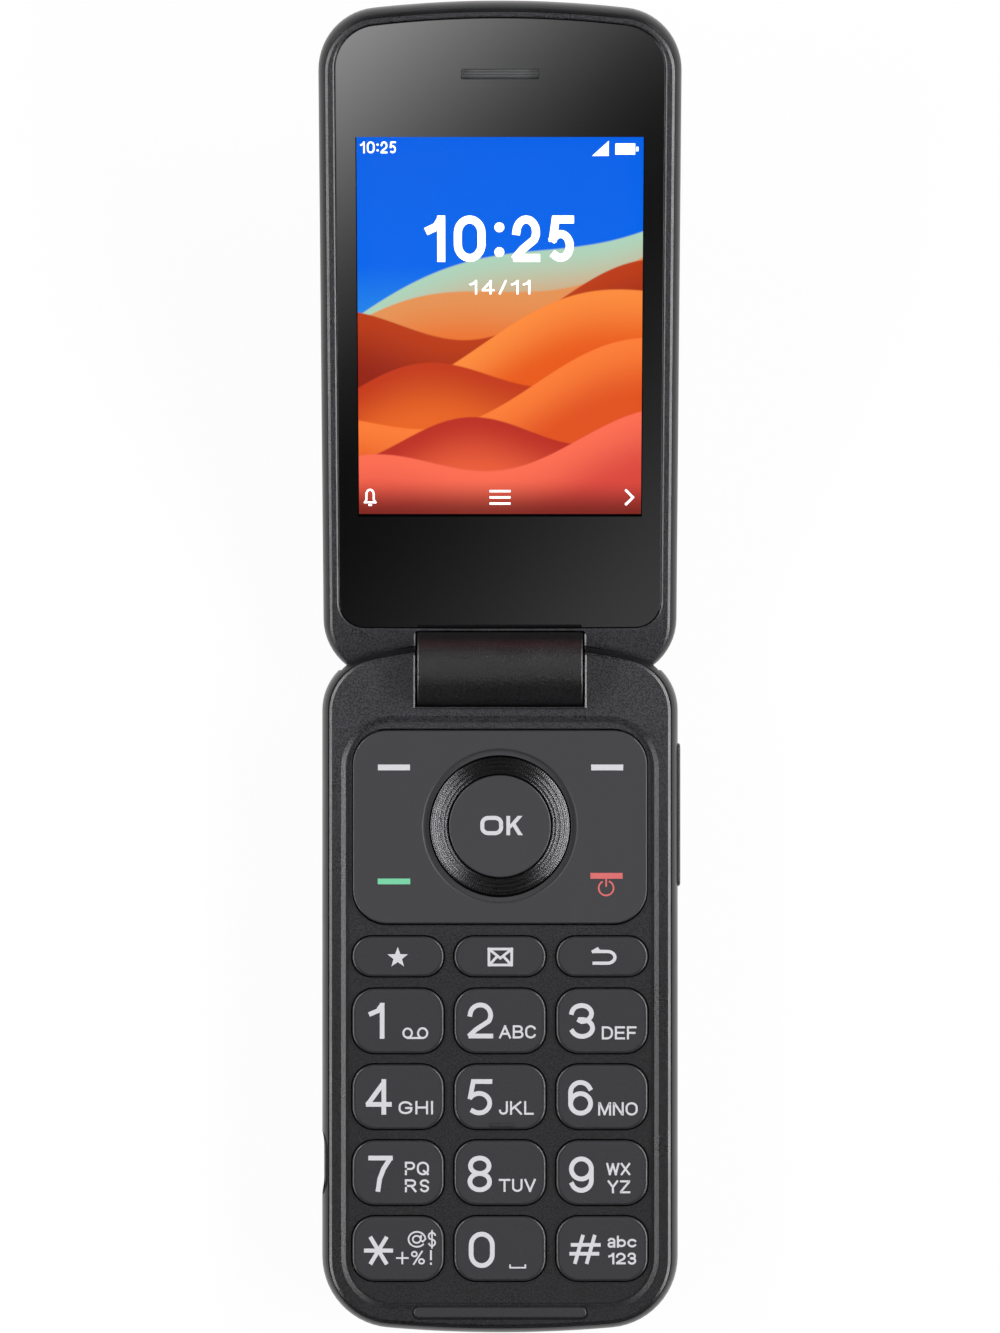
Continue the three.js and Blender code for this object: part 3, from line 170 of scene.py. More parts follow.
def quarter(
    inset: float, rise: float, steps: int = CURVE_STEPS, turn: float = 90.0,
) -> list[Step]:
    """Steps of a quarter curve that starts upright, or of its first part.

    Args:
        inset: how far the curve draws in.
        rise: how far it rises.
        steps: number of its facets.
        turn: how far round it is followed, in degrees, 90 where it ends level.

    Returns:
        The inset and the rise of each facet.
    """
    last = math.radians(turn)
    across, up = inset / (1 - math.cos(last)), rise / math.sin(last)
    turns = [last * i / steps for i in range(steps + 1)]
    return [
        (across * (math.cos(a) - math.cos(b)), up * (math.sin(b) - math.sin(a)))
        for a, b in zip(turns, turns[1:])
    ]


class Joining(Enum):
    """How one shape works on another."""

    CUT = "DIFFERENCE"
    ADD = "UNION"
    KEEP = "INTERSECT"


class Blank:
    """A shape in the making: one bmesh in millimetres and the operators that form it."""

    def __init__(self) -> None:
        """Starts with nothing."""
        self.bm = bmesh.new()

    # Outlines

    def _arched_end(
        self, half: float, reach: float, corner: float, arch: float, side: int, height: float,
    ) -> bmesh.types.BMVert:
        """Spins the right half of one arched end.

        Args:
            half: half the outline's width.
            reach: how far out the end stands in the middle.
            corner: radius of the corner.
            arch: how far the end's flat arc turns, in degrees.
            side: 1 for the far end, -1 for the near one.
            height: its place in Z.

        Returns:
            The vertex where the straight side begins.
        """
        slope = math.radians(arch)
        meet = half - corner + corner * math.sin(slope)
        corner_y = reach - corner * math.cos(slope) - meet * math.tan(slope / 2)
        crown = meet / math.sin(slope)
        first = tip = self.bm.verts.new((half, side * corner_y, height))
        turns = (
            ((half - corner, side * corner_y), math.pi / 2 - slope, CORNER_STEPS),
            ((0.0, side * (reach - crown)), slope, ARCH_STEPS),
        )
        for (x, y), angle, steps in turns:
            made = bmesh.ops.spin(
                self.bm, geom=[tip], cent=(x, y, height), axis=(0, 0, side), angle=angle,
                steps=steps,
            )
            tip = next(g for g in made["geom_last"] if isinstance(g, bmesh.types.BMVert))
        return first

    def arched(self, outline: Outline, height: float, filled: bool = True) -> "Blank":
        """Draws one of the phone's outlines.

        Args:
            outline: the outline.
            height: its place in Z.
            filled: whether it becomes a face.

        Returns:
            This blank.
        """
        ends = [
            self._arched_end(
                outline.half, outline.top, outline.top_corner, outline.top_arch, 1, height),
            self._arched_end(
                outline.half, -outline.bottom, outline.bottom_corner, outline.bottom_arch, -1,
                height),
        ]
        bmesh.ops.contextual_create(self.bm, geom=ends)
        bmesh.ops.mirror(
            self.bm, geom=[*self.bm.verts, *self.bm.edges], merge_dist=SAME_PLACE, axis="X")
        bmesh.ops.remove_doubles(self.bm, verts=self.bm.verts, dist=SAME_PLACE)
        return self.fill() if filled else self

    def fill(self, axis: int = 2) -> "Blank":
        """Fills the one outline that the blank holds, facing along an axis."""
        bmesh.ops.contextual_create(self.bm, geom=list(self.bm.edges))
        return self._faced(axis)

    def _faced(self, axis: int) -> "Blank":
        """Turns the blank's one face to look along an axis.

        Args:
            axis: the axis, 0 for X to 2 for Z.

        Returns:
            This blank.
        """
        face = self.bm.faces[:][0]
        face.normal_update()
        if face.normal[axis] < 0:
            bmesh.ops.reverse_faces(self.bm, faces=[face])
        return self

    def rounded(self, plan: Plan, height: float, steps: int = CURVE_STEPS) -> "Blank":
        """Draws a rounded rectangle as a face at a height.

        Args:
            plan: the rectangle.
            height: its place in Z.
            steps: facets of each corner.

        Returns:
            This blank.
        """
        verts = bmesh.ops.create_grid(self.bm, x_segments=1, y_segments=1, size=0.5)["verts"]
        bmesh.ops.scale(self.bm, vec=(plan.width, plan.length, 1), verts=verts)
        bmesh.ops.translate(self.bm, vec=(plan.x, plan.y, height), verts=verts)
        if plan.corner:
            bmesh.ops.bevel(
                self.bm, geom=verts, offset=plan.corner, offset_type="OFFSET", segments=steps,
                profile=0.5, affect="VERTICES", material=-1, clamp_overlap=False)
            bmesh.ops.remove_doubles(self.bm, verts=self.bm.verts, dist=SAME_PLACE)
        return self

    def loft(self, levels: Sequence[tuple[Plan, float]], steps: int = 16) -> "Blank":
        """Joins rounded rectangles at several heights into one closed body.

        Args:
            levels: each rectangle with its height, from one end to the other.
            steps: facets of each corner.

        Returns:
            This blank.
        """
        faces = []
        for plan, height in levels:
            known = set(self.bm.faces)
            self.rounded(plan, height, steps)
            faces.append(next(face for face in self.bm.faces if face not in known))
        loops = [list(face.edges) for face in faces]
        bmesh.ops.delete(self.bm, geom=faces[1:-1], context="FACES_ONLY")
        for low, high in zip(loops, loops[1:]):
            bmesh.ops.bridge_loops(self.bm, edges=low + high)
        return self.closed()

    def disc(
        self, place: Point, radius: float, height: float, sides: int = ROUND_SIDES,
    ) -> "Blank":
        """Draws a round face at a height.

        Args:
            place: its middle.
            radius: its radius.
            height: its place in Z.
            sides: number of its sides.

        Returns:
            This blank.
        """
        verts = bmesh.ops.create_circle(
            self.bm, cap_ends=True, segments=sides, radius=radius)["verts"]
        bmesh.ops.translate(self.bm, vec=(*place, height), verts=verts)
        return self._faced(2)

    def chain(self, points: Sequence[Place], closed: bool = False) -> "Blank":
        """Joins points by edges, and the last to the first where it is closed.

        Args:
            points: the points, in order.
            closed: whether it comes back to its start.

        Returns:
            This blank.
        """
        verts = [self.bm.verts.new(p) for p in points]
        pairs = list(zip(verts, verts[1:])) + ([(verts[-1], verts[0])] if closed else [])
        for pair in pairs:
            bmesh.ops.contextual_create(self.bm, geom=list(pair))
        return self

    # Bodies

    def body(self, up: Iterable[Step] = (), down: Iterable[Step] = ()) -> "Blank":
        """Gives the drawn face a body above and below it.

        Args:
            up: inset and rise of each step above it.
            down: inset and drop of each step below it.

        Returns:
            This blank.
        """
        above = self.bm.faces[:][0]
        copy = bmesh.ops.duplicate(
            self.bm, geom=[*self.bm.verts, *self.bm.edges, *self.bm.faces])
        below = next(g for g in copy["geom"] if isinstance(g, bmesh.types.BMFace))
        bmesh.ops.reverse_faces(self.bm, faces=[below])
        for face, steps in ((above, up), (below, down)):
            for inset, rise in steps:
                face.normal_update()
                bmesh.ops.inset_region(
                    self.bm, faces=[face], thickness=inset, depth=rise, use_even_offset=True,
                    use_boundary=True)
        return self.closed()

    def closed(self) -> "Blank":
        """Merges doubles and turns the faces of a closed shape outwards.

        Returns:
            This blank.
        """
        bmesh.ops.remove_doubles(self.bm, verts=self.bm.verts, dist=SAME_PLACE)
        bmesh.ops.recalc_face_normals(self.bm, faces=self.bm.faces)
        return self

    def revolved(self, axis: Place, centre: Place, sides: int = ROUND_SIDES) -> "Blank":
        """Spins the drawn chain all the way round an axis.

        Args:
            axis: the way that the axis runs.
            centre: a point on it.
            sides: number of steps of the turn.

        Returns:
            This blank.
        """
        bmesh.ops.spin(
            self.bm, geom=[*self.bm.verts, *self.bm.edges], cent=centre, axis=axis,
            angle=2 * math.pi, steps=sides, use_merge=True)
        return self.closed()

    def moved(self, matrix: Matrix) -> "Blank":
        """Moves the whole shape."""
        bmesh.ops.transform(self.bm, matrix=matrix, verts=self.bm.verts)
        return self

    def shifted(self, x: float = 0.0, y: float = 0.0, z: float = 0.0) -> "Blank":
        """Shifts the whole shape."""
        bmesh.ops.translate(self.bm, vec=(x, y, z), verts=self.bm.verts)
        return self

    def extended(self, *others: "Blank") -> "Blank":
        """Takes other shapes in, each as a shell of its own.

        Args:
            others: the other shapes, which are used up.

        Returns:
            This blank.
        """
        for other in others:
            mesh = bpy.data.meshes.new("taken_in")
            other.bm.to_mesh(mesh)
            self.bm.from_mesh(mesh)
            bpy.data.meshes.remove(mesh)
            other.bm.free()
        return self

    def model(self, name: str) -> bpy.types.Object:
        """Makes the shape an object, still in millimetres.

        Args:
            name: the object's name, and its mesh's.

        Returns:
            The object. The blank is used up.
        """
        mesh = bpy.data.meshes.new(name)
        self.bm.to_mesh(mesh)
        self.bm.free()
        return linked(name, mesh)

    def worked(self, joining: Joining, *tools: "Blank") -> "Blank":
        """Cuts, adds or intersects the shape with others, one after the other.

        Args:
            joining: what the others do to it.
            tools: the other shapes, which are used up.

        Returns:
            A blank that holds the result.
        """
        piece = self.model("work")
        for tool in tools:
            other = tool.model("tool")
            modifier = piece.modifiers.new("join", "BOOLEAN")
            modifier.operation, modifier.solver, modifier.object = joining.value, "EXACT", other
            result, old = evaluated_mesh(piece), piece.data
            piece.modifiers.clear()
            piece.data = result
            bpy.data.meshes.remove(old)
            bpy.data.meshes.remove(other.data)
        done = Blank()
        done.bm.from_mesh(piece.data)
        bpy.data.meshes.remove(piece.data)
        bmesh.ops.remove_doubles(done.bm, verts=done.bm.verts, dist=SAME_PLACE)
        bmesh.ops.dissolve_degenerate(done.bm, dist=SAME_PLACE, edges=done.bm.edges)
        return done

    def cut(self, *tools: "Blank") -> "Blank":
        """The shape without the tools."""
        return self.worked(Joining.CUT, *tools)

    def plus(self, *others: "Blank") -> "Blank":
        """The shape grown together with others."""
        return self.worked(Joining.ADD, *others)

    def within(self, *others: "Blank") -> "Blank":
        """What the shape shares with others."""
        return self.worked(Joining.KEEP, *others)


def box(x0: float, x1: float, y0: float, y1: float, z0: float, z1: float) -> Blank:
    """A plain block between two corners, for cutting and for inner supports."""
    plan = Plan((x0 + x1) / 2, (y0 + y1) / 2, x1 - x0, y1 - y0)
    return Blank().rounded(plan, z0).body(up=[(0, z1 - z0)])


def slab(plan: Plan, z0: float, z1: float, steps: int = CURVE_STEPS) -> Blank:
    """A rounded rectangle between two heights."""
    return Blank().rounded(plan, z0, steps).body(up=[(0, z1 - z0)])


def post(place: Point, radius: float, z0: float, z1: float, sides: int = 32) -> Blank:
    """An upright round post."""
    return Blank().disc(place, radius, z0, sides).body(up=[(0, z1 - z0)])


def plate(outline: Outline, z0: float, z1: float) -> Blank:
    """One of the phone's outlines between two heights."""
    return Blank().arched(outline, z0).body(up=[(0, z1 - z0)])


def rod(x0: float, x1: float, y: float, z: float, radius: float, sides: int = ROUND_SIDES) -> Blank:
    """A rod along X."""
    chain = [(x0, y, z), (x0, y + radius, z), (x1, y + radius, z), (x1, y, z)]
    return Blank().chain(chain).revolved((1, 0, 0), (0, y, z), sides)


def turned(place: Point, points: Sequence[Point], sides: int = ROUND_SIDES) -> Blank:
    """A body turned about an upright axis from points of radius and height.

    Args:
        place: where the axis stands.
        points: the points, in order.
        sides: number of steps of the turn.

    Returns:
        The body.
    """
    x, y = place
    chain = [(x + radius, y, height) for radius, height in points]
    return Blank().chain(chain).revolved((0, 0, 1), (x, y, 0), sides)


def posts(places: Sequence[Point], radius: float, z0: float, z1: float) -> Blank:
    """Upright round posts that count as one shape."""
    return together(post(place, radius, z0, z1) for place in places)


def together(shapes: Iterable[Blank]) -> Blank:
    """Several shapes as one, each a shell of its own."""
    first, *others = shapes
    return first.extended(*others)


def collar(plan: Plan, face: float) -> Blank:
    """The low rim that stands on a face round the barrel's notch."""
    return Blank().rounded(plan.grown(COLLAR[0]), face, 4).body(up=[COLLAR], down=[(0, HAIR)])


def pin_bores() -> Blank:
    """The bores of both hinge pins."""
    inner = NOTCH_HALF - RUN
    return together(
        rod(*ends, HINGE_Y, HINGE_Z, PIN_BORE, 32)
        for ends in ((-PIN_REACH, -inner), (inner, PIN_REACH)))


def sideways(points: Sequence[Point], half: float) -> Blank:
    """A body along X with a side outline of points in Y and Z."""
    return Blank().chain([(0, y, z) for y, z in points], closed=True).fill(0).body(
        up=[(0, half)], down=[(0, half)])


def shoulders(gap: float) -> Blank:
    """The round form of the base's shoulders about the hinge axis, grown by a gap.

    Args:
        gap: how far outside the shoulders it lies.

    Returns:
        The body, turned about the axis.
    """
    blank = Blank().arched(BASE, HINGE_Z, filled=False)
    bmesh.ops.bisect_plane(
        blank.bm, geom=[*blank.bm.verts, *blank.bm.edges], plane_co=(0, HINGE_Y, 0),
        plane_no=(0, -1, 0), clear_outer=True)
    tips = sorted((v for v in blank.bm.verts if len(v.link_edges) == 1), key=lambda v: v.co.x)
    bmesh.ops.translate(blank.bm, vec=(0, gap, 0), verts=blank.bm.verts)
    for tip, side in zip(tips, (-1, 1)):
        end = bmesh.ops.extrude_vert_indiv(blank.bm, verts=[tip])["verts"]
        bmesh.ops.translate(blank.bm, vec=(side * gap, -gap, 0), verts=end)
    return blank.revolved((1, 0, 0), (0, HINGE_Y, HINGE_Z), 128)


def arc_points(centre: Point, radius: float, start: float, end: float, steps: int) -> list[Point]:
    """Points of an arc between two angles in degrees, for a side outline."""
    turns = [math.radians(start + (end - start) * i / steps) for i in range(steps + 1)]
    return [(centre[0] + radius * math.cos(t), centre[1] + radius * math.sin(t)) for t in turns]


# Lettering drawn by strokes

GLYPHS = {
    "0": "1,.9 .5,.9,180 0,.5 .5,.5,180 1,.9",
    "1": ".5,0 .5,1.4 / .44,1.34 .3,1.14 0,1.02",
    "2": ".03,.98 .49,.94,-212 .3,.3 .04,.06 / .06,0 .96,0",
    "3": ".06,1.1 .44,1.05,-262 .36,.72 / .4,.76 .46,.36,-254",
    "4": ".76,0 .76,1.4 / .7,1.28 .06,.42 / .04,.36 1.02,.36",
    "5": ".9,1.4 .22,1.4 .1,.72 / .13,.72 .46,.44,-266",
    "6": ".9,1.12 .5,.94,156 .061,.44 / .061,.44 .5,.44,360",
    "7": "0,1.4 .95,1.4 / .9,1.32 .62,.92 .44,.48 .36,0",
    "8": ".48,.72 .48,1.06,360 / .48,.72 .48,.36,360",
    "9": ".1,.28 .5,.46,156 .939,.96 / .939,.96 .5,.96,360",
    "A": "0,0 .55,1.4 1.1,0 / .2,.46 .9,.46",
    "B": "0,.72 0,1.4 .55,1.4 .55,1.06,-180 0,.72 / 0,.72 .6,.72 .6,.36,-180 0,0 0,.72",
    "C": ".95,1.12 .5,.9,154 0,.5 .5,.5,154",
    "D": "0,0 0,1.4 .4,1.4 .4,.84,-90 .96,.56 .4,.56,-90 0,0",
    "E": ".85,0 0,0 0,1.4 .85,1.4 / 0,.72 .78,.72",
    "F": "0,0 0,1.4 .8,1.4 / 0,.7 .7,.7",
    "G": ".98,1.08 .53,.87,155 .03,.53 .53,.53,165 1.03,.66 .58,.66",
    "H": "0,0 0,1.4 / .9,0 .9,1.4 / 0,.72 .9,.72",
    "I": "0,0 0,1.4",
    "J": ".68,1.4 .68,.36 .34,.36,-180",
    "K": "0,0 0,1.4 / .92,1.4 0,.5 / .34,.84 .98,0",
    "L": "0,1.4 0,0 .74,0",
    "M": "0,0 0,1.4 .08,1.4 .6,.05 1.12,1.4 1.2,1.4 1.2,0",
    "N": "0,0 0,1.4 .06,1.4 .92,0 .98,0 .98,1.4",
    "O": "1.12,.84 .56,.84,180 0,.56 .56,.56,180 1.12,.84",
    "P": "0,0 0,1.4 .52,1.4 .52,1.02,-180 0,.64",
    "Q": "1.12,.84 .56,.84,180 0,.56 .56,.56,180 1.12,.84 / .66,.4 1.1,.02",
    "R": "0,0 0,1.4 .54,1.4 .54,1.04,-180 0,.68 / .5,.68 .94,0",
    "S": ".8,1.16 .46,1.04,250.5 .46,.34,-250",
    "T": "0,1.4 1.04,1.4 / .52,1.4 .52,0",
    "U": "0,1.4 0,.47 .47,.47,180 .94,1.4",
    "V": "0,1.4 .52,0 1.04,1.4",
    "W": "0,1.4 .34,0 .72,1.36 1.1,0 1.44,1.4",
    "X": "0,0 .98,1.4 / 0,1.4 .98,0",
    "Y": "0,1.4 .5,.66 .5,0 / 1,1.4 .5,.66",
    "Z": ".02,1.4 .96,1.4 .96,1.34 0,.06 0,0 .98,0",
    "a": ".06,.9 .37,.78,-158 .7,0 / .68,.54 .3,.54 .3,.26,180 .4,0 .66,.14",
    "b": "0,1.4 0,0 / 0,.5 .42,.5,360",
    "c": ".8,.78 .44,.5,284",
    "*": "-.62,0 .62,0 / -.36,-.56 .36,.56 / -.36,.56 .36,-.56",
    "#": ".18,0 .5,1.4 / .7,0 1.02,1.4 / 0,.46 1.16,.46 / .06,.95 1.22,.95",
    "@": ".98,.7 .68,.7,360 / 1.02,1 .98,.62 1.14,.5 1.34,.72 .7,.7,315",
    "$": ".8,1.16 .46,1.04,250.5 .46,.34,-250 / .46,1.6 .46,-.2",
    "+": "0,.5 .9,.5 / .45,.05 .45,.95",
    "%": ".2,0 1,1.4 / .5,1.1 .25,1.1,360 / 1.2,.3 .95,.3,360",
    "!": "0,.52 0,1.4 / 0,0 0,.04",
    "/": "0,0 .55,1.4",
    "wide_o": "1.5,.9 1,.9,90 .5,1.4 .5,.9,90 0,.5 .5,.5,90 1,0 1,.5,90 1.5,.9",
    "rings": ".5,.26 .26,.26,360 / 1.36,.26 1.1,.26,360 / .26,0 1.1,0",
    "bracket": "0,.5 0,0 1.6,0 1.6,.5",
    "return": ".06,1.1 1,1.1 1,.55,-180 .06,0 / 0,1.1 .3,1.32",
    "power": ".45,.83 0,0,-298 / 0,.25 0,1.05",
    "bell": "0,.2 .15,.4 .15,.8 .5,.8,-180 .85,.4 1,.2 0,.2 / .42,0 .58,0",
    "rows": "0,0 1.4,0 / 0,.5 1.4,.5 / 0,1 1.4,1",
    "chevron": "0,0 .6,.6 0,1.2",
    "frame": "0,0 1.3,0 1.3,.95 0,.95 0,0 / 0,.95 .65,.4 1.3,.95 / .02,0 .48,.52 / 1.28,0 .82,.52",
}
TURNS_BACK = math.cos(math.radians(100))


def strokes_of(glyph: str) -> list[Stroke]:
    """Reads a glyph's strokes, which a slash parts.

    Args:
        glyph: its name in the table.

    Returns:
        The moves of each stroke: its start, then two numbers for the end of a straight line, or
        three for the centre of an arc and its turn in degrees.
    """
    return [[tuple(float(v) for v in move.split(",")) for move in stroke.split()]
            for stroke in GLYPHS[glyph].split("/")]


@dataclass(frozen=True)
class Word:
    """Lettering in a box of its own, drawn with one width of stroke."""

    glyphs: str
    left: float
    right: float
    bottom: float
    top: float
    stroke: float
    gap: float = 0.42


class Lettering:
    """Draws words as thin raised ink on a flat top."""

    def __init__(self, ink: float = 0.02, stagger: float = 0.001) -> None:
        """Starts with nothing drawn.

        Args:
            ink: height of the ink.
            stagger: how much higher each next stroke lies.
        """
        self.ink = ink
        self.stagger = stagger
        self.count = 0

    def _stroke(self, blank: Blank, stroke: Stroke, shift: float) -> None:
        """Draws one stroke as a line, which breaks where it turns back on itself.

        Args:
            blank: what it is drawn into.
            stroke: its moves, as strokes_of gives them.
            shift: how far to the right its glyph stands.
        """
        (x, y), *moves = stroke
        here, heading = Vector((x + shift, y)), None
        tip = None
        for move in moves:
            centre = Vector((move[0] + shift, move[1]))
            angle = math.radians(move[2]) if len(move) == 3 else 0.0
            out = here - centre
            start = Vector((-out.y, out.x)) * math.copysign(1, angle) if angle else -out
            if tip is None or heading.dot(start) < TURNS_BACK * heading.length * start.length:
                tip = blank.bm.verts.new((*here, self.count))
                self.count += 1
            if angle:
                made = bmesh.ops.spin(
                    blank.bm, geom=[tip], cent=(*centre, 0), axis=(0, 0, 1), angle=angle,
                    steps=max(4, round(abs(move[2]) / 12)))
                tip = next(g for g in made["geom_last"] if isinstance(g, bmesh.types.BMVert))
                here, heading = tip.co.xy, start @ Matrix.Rotation(-angle, 2)
            else:
                tip = bmesh.ops.extrude_vert_indiv(blank.bm, verts=[tip])["verts"][0]
                tip.co.xy = centre
                here, heading = centre, start

    def word(self, word: Word, height: float) -> Blank:
        """Draws one word.

        Args:
            word: what is drawn, and the box that it fills.
            height: the flat that it lies on.

        Returns:
            The word's closed strokes.
        """
        blank = Blank()
        self.count = 0
        shift = 0.0
        for name in word.glyphs.split():
            for stroke in strokes_of(name):
                self._stroke(blank, stroke, shift)
            shift = max(v.co.x for v in blank.bm.verts) + word.gap
        bmesh.ops.remove_doubles(blank.bm, verts=blank.bm.verts, dist=SAME_PLACE)
        half = word.stroke / 2
        (sx, tx), (sy, ty) = (
            self._fit([v.co[axis] for v in blank.bm.verts], low + half, high - half)
            for axis, low, high in ((0, word.left, word.right), (1, word.bottom, word.top)))
        blank.moved(
            Matrix.Translation((tx, ty, height)) @ Matrix.Diagonal((sx, sy, self.stagger, 1)))
        for end in [v for v in blank.bm.verts if len(v.link_edges) == 1]:
            way = end.co - end.link_edges[0].other_vert(end).co
            end.co += way.normalized() * half
        made = bmesh.ops.extrude_edge_only(blank.bm, edges=list(blank.bm.edges))
        top = [g for g in made["geom"] if isinstance(g, bmesh.types.BMVert)]
        bmesh.ops.translate(blank.bm, vec=(0, 0, self.ink), verts=top)
        bmesh.ops.recalc_face_normals(blank.bm, faces=blank.bm.faces)
        ribbon = blank.model("ribbon")
        wall = ribbon.modifiers.new("wall", "SOLIDIFY")
        wall.thickness, wall.offset, wall.use_even_offset = word.stroke, 0, True
        mesh = evaluated_mesh(ribbon)
        done = Blank()
        done.bm.from_mesh(mesh)
        bpy.data.meshes.remove(mesh)
        bpy.data.meshes.remove(ribbon.data)
        return done.closed()

    @staticmethod
    def _fit(values: Sequence[float], low: float, high: float) -> tuple[float, float]:
        """The scale and shift that bring values between two places.

        Args:
            values: the values.
            low: where the least one goes.
            high: where the greatest one goes.

        Returns:
            The scale and the shift.
        """
        reach = max(values) - min(values)
        scale = (high - low) / reach if reach > SAME_PLACE else 1.0
        return scale, (low + high) / 2 - scale * (max(values) + min(values)) / 2

    def bar(self, left: float, right: float, bottom: float, top: float, height: float) -> Blank:
        """Draws a filled bar."""
        plan = Plan((left + right) / 2, (bottom + top) / 2, right - left, top - bottom)
        return Blank().rounded(plan, height).body(up=[(0, self.ink)])

    def dot(self, x: float, y: float, radius: float, height: float) -> Blank:
        """Draws a round dot."""
        return post((x, y), radius, height, height + self.ink, 24)

    def shape(self, points: Sequence[Point], height: float) -> Blank:
        """Draws a filled outline."""
        return Blank().chain([(x, y, height) for x, y in points], closed=True).fill().body(
            up=[(0, self.ink)])


# Shader graphs

class Value:
    """A socket in shader maths: an expression on values adds its Math nodes."""

    def __init__(self, graph: "Graph", socket: bpy.types.NodeSocket) -> None:
        """Wraps a socket of a graph."""
        self.graph, self.socket = graph, socket

    def __add__(self, other: "Value | float") -> "Value":
        """The sum."""
        return self.graph.maths("ADD", self, other)

    def __sub__(self, other: "Value | float") -> "Value":
        """The difference."""
        return self.graph.maths("SUBTRACT", self, other)

    def __rsub__(self, other: float) -> "Value":
        """The difference, from a number."""
        return self.graph.maths("SUBTRACT", other, self)

    def __mul__(self, other: "Value | float") -> "Value":
        """The product."""
        return self.graph.maths("MULTIPLY", self, other)

    def __truediv__(self, other: "Value | float") -> "Value":
        """The quotient."""
        return self.graph.maths("DIVIDE", self, other)

    def __lt__(self, other: "Value | float") -> "Value":
        """1 where it is less."""
        return self.graph.maths("LESS_THAN", self, other)

    def __gt__(self, other: "Value | float") -> "Value":
        """1 where it is more."""
        return self.graph.maths("GREATER_THAN", self, other)

    __radd__ = __add__
    __rmul__ = __mul__


class Graph:
    """The nodes of one material or of the world."""

    def __init__(self, owner: "bpy.types.Material | bpy.types.World") -> None:
        """Empties the owner's tree.

        Args:
            owner: the material, or the world.
        """
        owner.use_nodes = True
        self.tree = owner.node_tree
        self.tree.nodes.clear()

    def node(
        self, kind: str, settings: Mapping[str, Any] | None = None,
        inputs: Mapping[str | int, Any] | None = None,
    ) -> bpy.types.Node:
        """Adds a node.

        Args:
            kind: the node's type.
            settings: its settings, such as a Math node's operation or a ramp's stops.
            inputs: the values or links of its sockets, by name or place.

        Returns:
            The node.
        """
        made = self.tree.nodes.new(kind)
        for name, value in (settings or {}).items():
            if name == "stops":
                elements = made.color_ramp.elements
                while len(elements) < len(value):
                    elements.new(1.0)
                for element, (place, colour) in zip(elements, value):
                    element.position, element.color = place, (*colour, 1)
            else:
                setattr(made, name, value)
        for name, value in (inputs or {}).items():
            if isinstance(value, Value):
                self.tree.links.new(value.socket, made.inputs[name])
            elif isinstance(value, tuple) and made.inputs[name].type == "RGBA":
                made.inputs[name].default_value = (*value, 1)
            else:
                made.inputs[name].default_value = value
        return made

    def value(
        self, kind: str, output: str | int = 0, settings: Mapping[str, Any] | None = None,
        inputs: Mapping[str | int, Any] | None = None,
    ) -> Value:
        """Adds a node and returns one of its outputs."""
        return Value(self, self.node(kind, settings, inputs).outputs[output])

    def maths(self, operation: str, *values: "Value | float") -> Value:
        """Adds a Math node."""
        return self.value(
            "ShaderNodeMath", settings={"operation": operation}, inputs=dict(enumerate(values)))

    def smooth(self, value: Value, low: float, high: float) -> Value:
        """0 below one place, 1 above another, and smooth between them."""
        return self.value(
            "ShaderNodeMapRange", settings={"interpolation_type": "SMOOTHSTEP"},
            inputs={"Value": value, "From Min": low, "From Max": high})

    def blend(self, share: "Value | float", low: "Value | Colour", high: "Value | Colour") -> Value:
        """A colour between two colours."""
        return self.value(
            "ShaderNodeMix", 2, {"data_type": "RGBA"}, {0: share, 6: low, 7: high})

    def place(self, centre: Place = (0, 0, 0), tilt: float = 0.0) -> Value:
        """Object coordinates in millimetres, from a centre and turned back about X."""
        seat = self.value("ShaderNodeTexCoord", "Object")
        return self.value("ShaderNodeMapping", settings={"vector_type": "TEXTURE"}, inputs={
            "Vector": seat, "Location": tuple(c * MM for c in centre),
            "Rotation": (tilt, 0, 0), "Scale": (MM, MM, MM)})

    def axes(self, vector: Value) -> tuple[Value, Value, Value]:
        """The three components of a vector."""
        made = self.node("ShaderNodeSeparateXYZ", inputs={0: vector})
        return tuple(Value(self, made.outputs[i]) for i in range(3))

    def noise(self, vector: Value, size: float, detail: float = 2.0, rough: float = 0.5) -> Value:
        """Noise with patches of a size in millimetres."""
        return self.value("ShaderNodeTexNoise", "Fac", inputs={
            "Vector": vector, "Scale": 1 / size, "Detail": detail, "Roughness": rough})

    def bump(self, height: Value, strength: float, distance: float) -> Value:
        """A normal roughened by a height of up to a distance in millimetres."""
        return self.value("ShaderNodeBump", inputs={
            "Strength": strength, "Distance": distance * MM, "Height": height})

    def scaled(self, tone: Value, level: "Value | float") -> Value:
        """A colour made lighter or darker by a factor."""
        return self.value("ShaderNodeVectorMath", settings={"operation": "SCALE"}, inputs={
            "Vector": tone, "Scale": level})

    def rays(self, *kinds: str) -> Value:
        """1 for a ray of any of these kinds.

        Args:
            kinds: outputs of the Light Path node.

        Returns:
            The mask.
        """
        path = self.node("ShaderNodeLightPath")
        seen = Value(self, path.outputs[kinds[0]])
        for kind in kinds[1:]:
            seen = self.maths("MAXIMUM", seen, Value(self, path.outputs[kind]))
        return seen

    def surface(self, inputs: Mapping[str, Any]) -> None:
        """Ends a material in a Principled shader."""
        shader = self.value("ShaderNodeBsdfPrincipled", inputs=inputs)
        self.node("ShaderNodeOutputMaterial", inputs={"Surface": shader})


# Finishes

